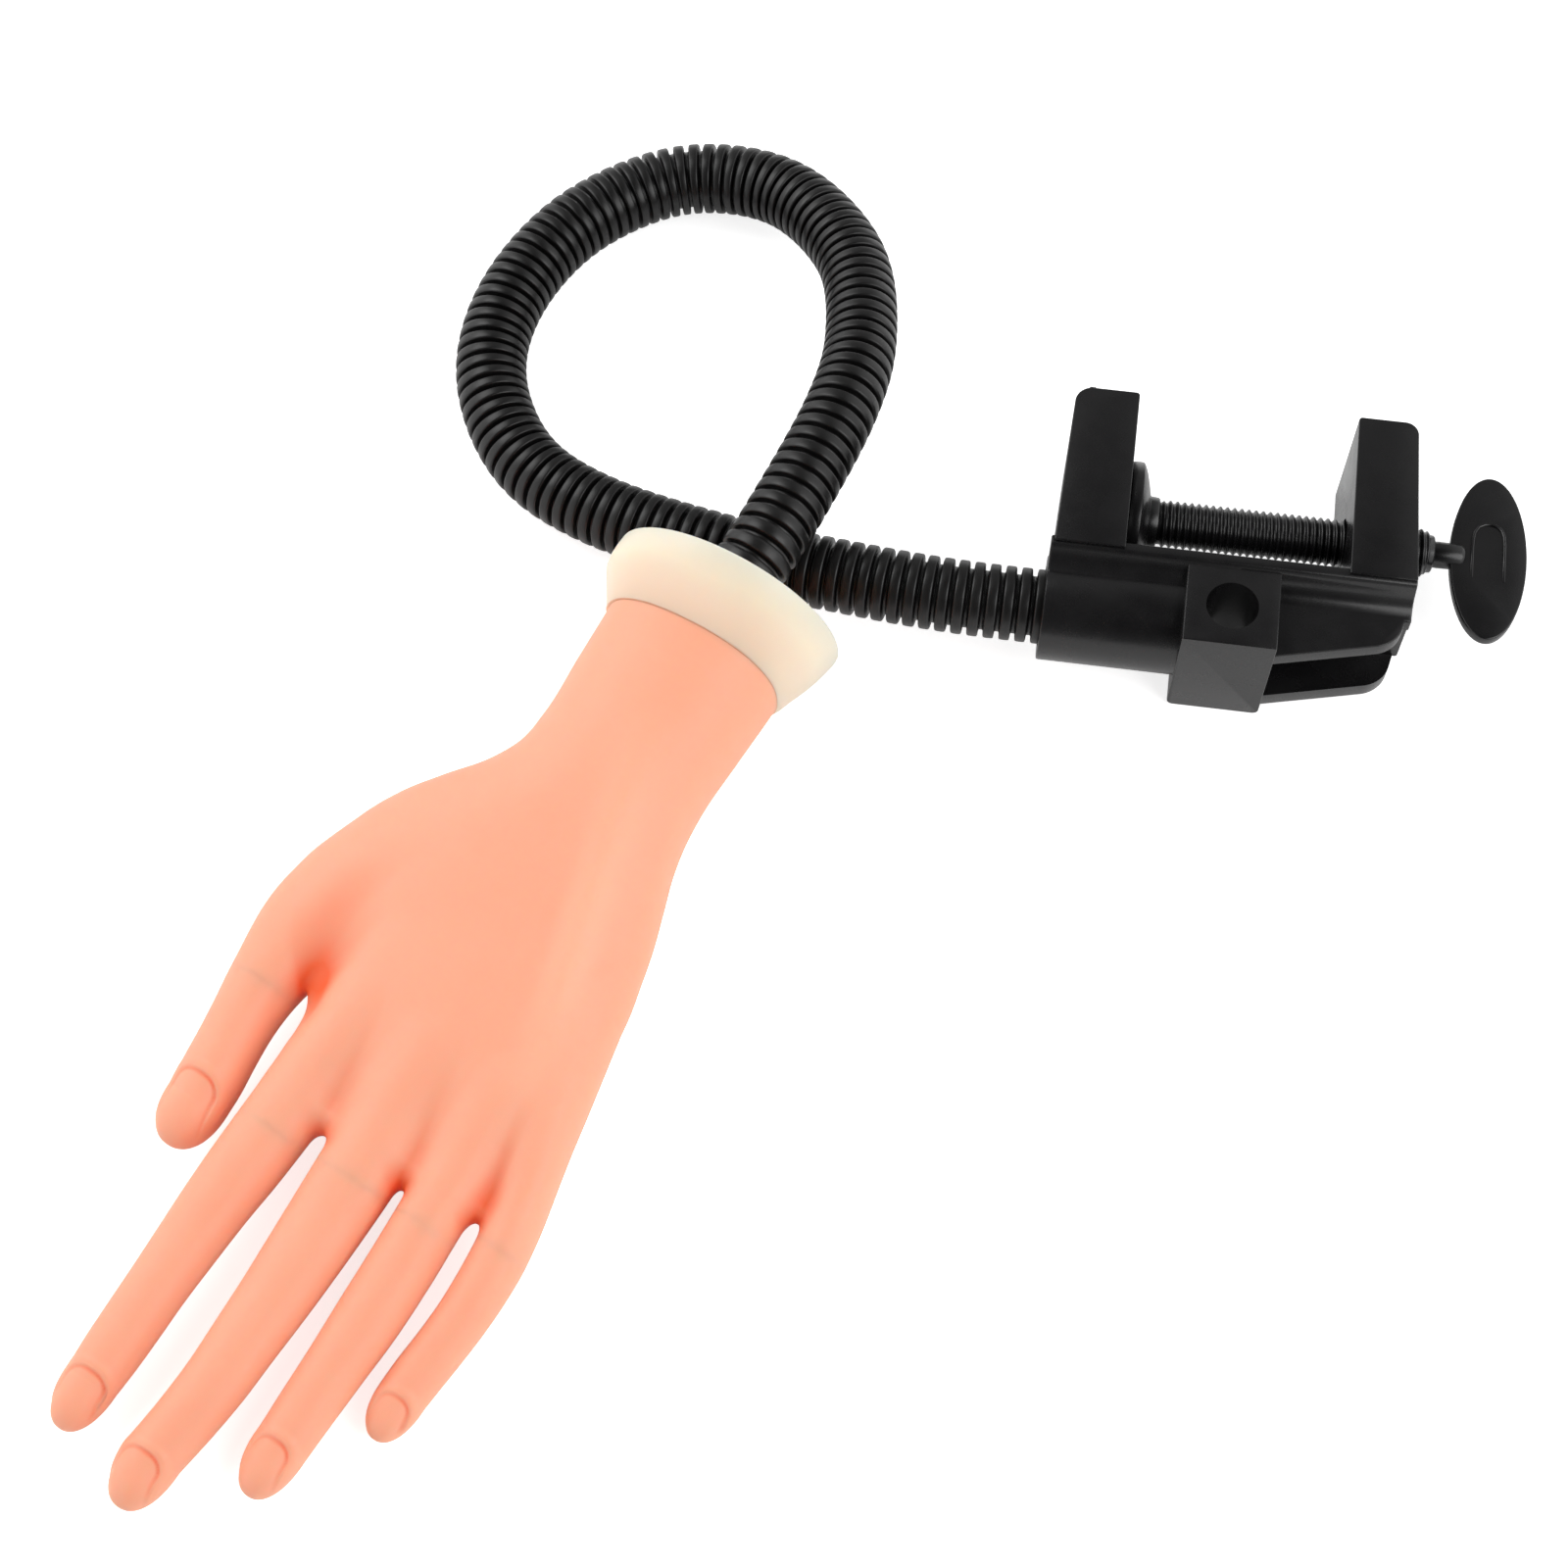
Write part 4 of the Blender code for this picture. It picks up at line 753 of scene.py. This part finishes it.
FINGER_CAPS = {"thumb": 12.3, "index": 12.8, "middle": 13.6, "ring": 13.0, "little": 12.0}
# Valleys behind the webs and knuckles over the roots: start, end, line across at both, depth, spread
VALLEYS = [
    (112, 150, -22.0, -30.4, 3.0, 5.0), (124, 166, -11.0, -7.2, 0.5, 4.4), (124, 166, 9.0, 16.0, 0.5, 4.4),
    (124, 163, 26.5, 35.6, 0.5, 4.2)]
KNUCKLES = [
    (152, -18.5, 0.45, 11.0, 6.5), (154, 3.6, 0.50, 11.0, 6.5), (151, 24.5, 0.45, 11.0, 6.0),
    (145, 38.0, 0.40, 11.0, 5.5), (122, -38.0, 0.5, 13.0, 7.0)]
# The long ridge from the wrist along the fourth metacarpal, where the back of the hand turns over
RIDGE = (40, 152, 6.5, 34.5, 1.8, 6.0)
# Painted shade, a deeper colour at the webs: centre along and across, length, spread, strength
WEB_SHADE = [
    (141.5, -30.2, 7.5, 4.4, 0.85), (129, -34.5, 15.0, 7.0, 0.36), (171.5, -5.0, 6.0, 3.6, 0.45),
    (172, 16.3, 7.0, 3.6, 0.65), (167.5, 36.0, 7.0, 3.6, 0.65)]
# Nail seats: start, middle across, lean, half width, corner length, tip, middle height, depth
NAILS = [
    (173.2, -39.8, 0.08, 6.6, 6.0, 192.0, -1.0, 0.95), (244.4, -19.8, 0.0, 6.0, 5.2, 259.5, 1.2, 0.90),
    (252.5, 2.5, 0.0, 6.2, 5.2, 266.3, 2.4, 0.90), (234.5, 26.3, 0.0, 5.5, 5.2, 248.8, 0.4, 0.85),
    (211.6, 43.8, 0.0, 4.8, 4.6, 223.8, -2.6, 0.80)]


def ease(value):
    value = np.clip(value, 0, 1)
    return value * value * (3 - 2 * value)


def nail_relief(x, y, z):
    """How far the skin sinks into a nail seat, or rises as the fold round it, and the painted shade in the
    groove at the nail's root.
    """
    relief, root = 0.0, 0.0
    for start, middle, lean, half, corner, tip, level, depth in NAILS:
        across = (y - middle - lean * (x - start - 7)) / half
        along = np.maximum(0, start + corner - x) / corner
        reach = (np.abs(across) ** 2.6 + along ** 2.6) ** (1 / 2.6)
        top = ease((z - level) / 3.0) * (x > start - 4)
        fade = ((1 - 0.8 * ease((x - start - 3) / (tip - start - 3)))
                * (0.55 + 0.45 * ease(across / 1.4 + 0.55)))
        seat = ease((1 - reach) * half / 1.3)
        fold = np.exp(-((reach - 1.14) * half / 1.0) ** 2)
        relief = relief + top * fade * (depth * seat - 0.32 * fold)
        root = root + (top * fade * ease((1.05 - reach) * half / 0.6)
                       * np.exp(-((reach - 0.9) * half / 1.3) ** 2))
    return relief, root


def crest(x, y):
    """The ridge's height across the back of the hand, 0 to 1."""
    start, end, low, high, _, spread = RIDGE
    t = np.clip((x - start) / (end - start), 0, 1)
    return np.sin(math.pi * t) * np.exp(-((y - low - (high - low) * t) / spread) ** 2)


def web_shade(x, y, z):
    """How much painted shade deepens the colour round the finger webs."""
    total = 0.0
    for centre, line, length, spread, strength in WEB_SHADE:
        total = total + strength * np.exp(-((x - centre) / length) ** 2 - ((y - line) / spread) ** 2)
    return total * ease((z + 6) / 8)


def skin(x, y, z):
    """Signed distance to the hand's surface, in mm."""
    body = loft(PALM, 10.0, 5.8, 2.25, x, y, z)
    fingers = None
    for name, rows in FINGERS.items():
        if name == "thumb":
            continue
        finger = loft(rows, 12.0, FINGER_CAPS[name], 2.2, x, y, z)
        fingers = finger if fingers is None else join(fingers, finger, 2.6)
    body = join(body, fingers, 4.0)
    thumb = loft(FINGERS["thumb"], 12.0, FINGER_CAPS["thumb"], 2.2, x, y, z)
    body = join(body, thumb, 5.0 - 4.0 * ease((x - 136) / 16))
    back = ease((z - 1.5) / 6.0)
    for start, end, low, high, depth, spread in VALLEYS:
        t = np.clip((x - start) / (end - start), 0, 1)
        across = (y - low - (high - low) * t) / spread
        body = body + depth * ease(t) * ease((end + 8 - x) / 12) * back * np.exp(-across ** 2)
    body = body - RIDGE[4] * back * crest(x, y)
    for centre, line, height, length, spread in KNUCKLES:
        body = body - height * back * np.exp(-((x - centre) / length) ** 2 - ((y - line) / spread) ** 2)
    return body


def skin_with_nails(x, y, z):
    return skin(x, y, z) + nail_relief(x, y, z)[0]


def settle(points, field, rounds):
    """Moves points onto a field's zero level and gives the outward direction there."""
    nudge = 0.12
    for turn in range(rounds + 1):
        slope = np.zeros_like(points)
        for k in range(3):
            offset = np.zeros(3)
            offset[k] = nudge
            slope[:, k] = (field(*(points + offset).T) - field(*(points - offset).T)) / (2 * nudge)
        if turn < rounds:
            length = np.maximum(np.sum(slope ** 2, axis=1), 0.2)
            points = points - np.clip(field(*points.T) / length, -0.4, 0.4)[:, None] * slope
    return points, slope / np.linalg.norm(slope, axis=1, keepdims=True)


def level_surface(low, high, step):
    """Quads round the zero level of the skin, one point for each cell that it crosses."""
    axes = [np.arange(low[k], high[k] + step, step) for k in range(3)]
    shape = [len(axis) for axis in axes]
    value = np.empty(shape, np.float32)
    chunk = 24
    for i in range(0, shape[0], chunk):
        value[i:i + chunk] = skin(
            axes[0][i:i + chunk, None, None], axes[1][None, :, None], axes[2][None, None, :])
    inside = value < 0
    cells = tuple(n - 1 for n in shape)
    corner = [np.s_[:-1], np.s_[1:]]
    count = np.zeros(cells, np.int8)
    for a in (0, 1):
        for b in (0, 1):
            for c in (0, 1):
                count += inside[corner[a], corner[b], corner[c]]
    active = (count > 0) & (count < 8)
    number = np.full(cells, -1, np.int64)
    number[active] = np.arange(active.sum())
    cell = np.argwhere(active)
    total = np.zeros((len(cell), 3))
    crossings = np.zeros(len(cell))
    for axis in range(3):
        others = [k for k in range(3) if k != axis]
        for a in (0, 1):
            for b in (0, 1):
                first = cell.copy()
                first[:, others[0]] += a
                first[:, others[1]] += b
                second = first.copy()
                second[:, axis] += 1
                f = value[tuple(first.T)].astype(float)
                g = value[tuple(second.T)].astype(float)
                crossed = (f < 0) != (g < 0)
                t = np.where(crossed, f / np.where(crossed, f - g, 1), 0)
                point = first.astype(float)
                point[:, axis] += t
                total[crossed] += point[crossed]
                crossings += crossed
    points = total / crossings[:, None] * step + np.array([axis[0] for axis in axes])
    quads = []
    for axis in range(3):
        a, b = [(1, 2), (2, 0), (0, 1)][axis]
        low_side = [np.s_[:]] * 3
        high_side = [np.s_[:]] * 3
        for k in (a, b):
            low_side[k] = high_side[k] = np.s_[1:-1]
        low_side[axis], high_side[axis] = np.s_[:-1], np.s_[1:]
        f, g = inside[tuple(low_side)], inside[tuple(high_side)]
        for leaving in (True, False):
            edge = np.argwhere((f & ~g) if leaving else (~f & g))
            edge[:, a] += 1
            edge[:, b] += 1
            ring = []
            for da, db in ((-1, -1), (0, -1), (0, 0), (-1, 0)):
                at = edge.copy()
                at[:, a] += da
                at[:, b] += db
                ring.append(number[tuple(at.T)])
            quad = np.stack(ring, axis=1)
            quads.append(quad if leaving else quad[:, ::-1])
    return points, np.concatenate(quads)


skin_step = 0.8
hand_box = ((0, -60, -26), (272, 60, 26))
points, quads = level_surface(*hand_box, skin_step)
points = settle(points, skin, 3)[0]

# Where the skin is parted between the palm and each finger: cut place, edges across, blend length
CUTS = {
    "thumb": (148.0, -70.0, -29.4, 24.0),
    "index": (176.8, -29.4, -7.6, 40.0),
    "middle": (176.8, -7.6, 16.2, 40.0),
    "ring": (176.8, 16.2, 36.8, 40.0),
    "little": (172.0, 36.8, 70.0, 36.0)}
centre = points[quads].mean(axis=1)
owner = np.zeros(len(quads), int)
for index, (name, (cut, low, high, _)) in enumerate(CUTS.items()):
    owner[(centre[:, 0] > cut) & (centre[:, 1] > low) & (centre[:, 1] <= high)] = index + 1

vinyl, tree, shader = new_material("soft_skin_vinyl")
place = add_node(tree, "ShaderNodeTexCoord")
hollow = add_node(tree, "ShaderNodeAttribute", attribute_name="hollow")
broad = add_node(tree, "ShaderNodeTexNoise", {"Vector": (place, "Object"), "Scale": 28.0, "Detail": 3.0})
fine = add_node(tree, "ShaderNodeTexNoise", {"Vector": (place, "Object"), "Scale": 2600.0, "Detail": 2.0})
tone = add_node(tree, "ShaderNodeMix", {
    0: (broad, "Fac"), 6: srgb("#ffa988"), 7: srgb("#ffb293")}, data_type="RGBA")
# Painted highlight: the vinyl turns paler along the crest of the ridge, where light catches it
ridge_highlight_mask = add_node(tree, "ShaderNodeAttribute", attribute_name="crest")
painted_ridge_highlight = add_node(tree, "ShaderNodeMix", {
    0: (ridge_highlight_mask, "Fac"), 6: (tone, 2), 7: srgb("#ffba9a")}, data_type="RGBA")
# Painted shade: the colour deepens to orange in hollows, round the finger webs and at the nails' roots
painted_hollow_shade = add_node(tree, "ShaderNodeMix", {
    0: (hollow, "Fac"), 6: (painted_ridge_highlight, 2), 7: srgb("#ff6d3c")}, data_type="RGBA")
link(tree, painted_hollow_shade, 2, shader, "Base Color")
shine = add_node(tree, "ShaderNodeMapRange", {"Value": (broad, "Fac"), "To Min": 0.46, "To Max": 0.56})
link(tree, shine, "Result", shader, "Roughness")
# The satin bloom of the mould, coarser than the real one so that it shows
relief = add_node(tree, "ShaderNodeBump", {"Height": (fine, "Fac"), "Strength": 0.08, "Distance": 0.0001})
link(tree, relief, "Normal", shader, "Normal")
shader.inputs["IOR"].default_value = 1.45
shader.inputs["Subsurface Weight"].default_value = 0.55
shader.inputs["Subsurface Radius"].default_value = (1.0, 0.3, 0.18)
shader.inputs["Subsurface Scale"].default_value = 0.005


def bend_of(local, field, wide):
    """How hollow the surface is, from the field a little way round each point."""
    total = -6 * field(*local.T)
    for k in range(3):
        for side in (-wide, wide):
            beside = local.copy()
            beside[:, k] += side
            total += field(*beside.T)
    return -total / wide ** 2


wire_rings, wire_sides = 48, 12
for index, name in enumerate(["palm", *CUTS]):
    kept = quads[owner == index]
    used, renumbered = np.unique(kept, return_inverse=True)
    local, faces = points[used], renumbered.reshape(-1, 4).tolist()
    if name != "palm":
        # The faces round the nail are cut finer, so that its seat is real relief
        start, level = NAILS[index - 1][0], NAILS[index - 1][6]
        shape = bmesh.new()
        verts = [shape.verts.new(point) for point in local]
        for face in faces:
            shape.faces.new([verts[i] for i in face])
        near = [edge for edge in shape.edges
                if min(vert.co.x for vert in edge.verts) > start - 3
                and min(vert.co.z for vert in edge.verts) > level - 1]
        bmesh.ops.subdivide_edges(shape, edges=near, cuts=2, use_grid_fill=True)
        bmesh.ops.triangulate(shape, faces=[face for face in shape.faces if len(face.verts) > 4])
        shape.verts.index_update()
        local = np.array([vert.co[:] for vert in shape.verts])
        faces = [[vert.index for vert in face.verts] for face in shape.faces]
        shape.free()
    field = skin if name == "palm" else skin_with_nails
    local, normal = settle(local, field, 0 if name == "palm" else 3)
    part = add_piece("skin_" + name, hand_to_row(local), faces, vinyl, 180)
    # Painted shade: the hollow attribute sums the surface's hollowness, the webs and the nails' roots
    hollow_shade_value = (0.7 * bend_of(local, skin, 3.0) + 0.5 * bend_of(local, field, 1.0)
                    + web_shade(*local.T) + 0.34 * nail_relief(*local.T)[1] - 0.02)
    # The crest attribute places the painted highlight along the ridge
    for label, value in (("hollow", hollow_shade_value), ("crest", crest(local[:, 0], local[:, 1]))):
        attribute = part.data.attributes.new(label, "FLOAT", "POINT")
        attribute.data.foreach_set("value", np.clip(value, 0, 1).astype(np.float32))
    part.data.normals_split_custom_set_from_vertices((normal @ to_row[:3, :3].T).tolist())
    if name == "palm":
        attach(part, "hand")
        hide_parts("palm")
        continue
    cut, low, high, length = CUTS[name]
    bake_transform(part)
    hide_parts("finger_" + name)
    # The finger's wire is soft annealed steel and bends where the vinyl round it does
    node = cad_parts["finger_wire_" + name]
    corners = np.array([(node.matrix_world @ vert.co)[:] for vert in node.data.vertices])
    middle = corners.mean(axis=0)
    along = np.linalg.svd(corners - middle)[2][0]
    reach = (corners - middle) @ along
    radius = np.linalg.norm(corners - middle - reach[:, None] * along, axis=1).max()
    side = np.cross(along, (0, 0, 1))
    side /= np.linalg.norm(side)
    up = np.cross(side, along)
    wire_points = [middle + place * along + radius * (math.cos(a) * side + math.sin(a) * up)
                   for place in np.linspace(reach.min(), reach.max(), wire_rings)
                   for a in np.linspace(0, 2 * math.pi, wire_sides, endpoint=False)]
    wire_faces = ring_faces(wire_rings, wire_sides) + end_caps(wire_rings, wire_sides)
    wire = add_piece("bending_wire_" + name, wire_points, wire_faces, steel, 50)
    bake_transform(wire)
    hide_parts("finger_wire_" + name)
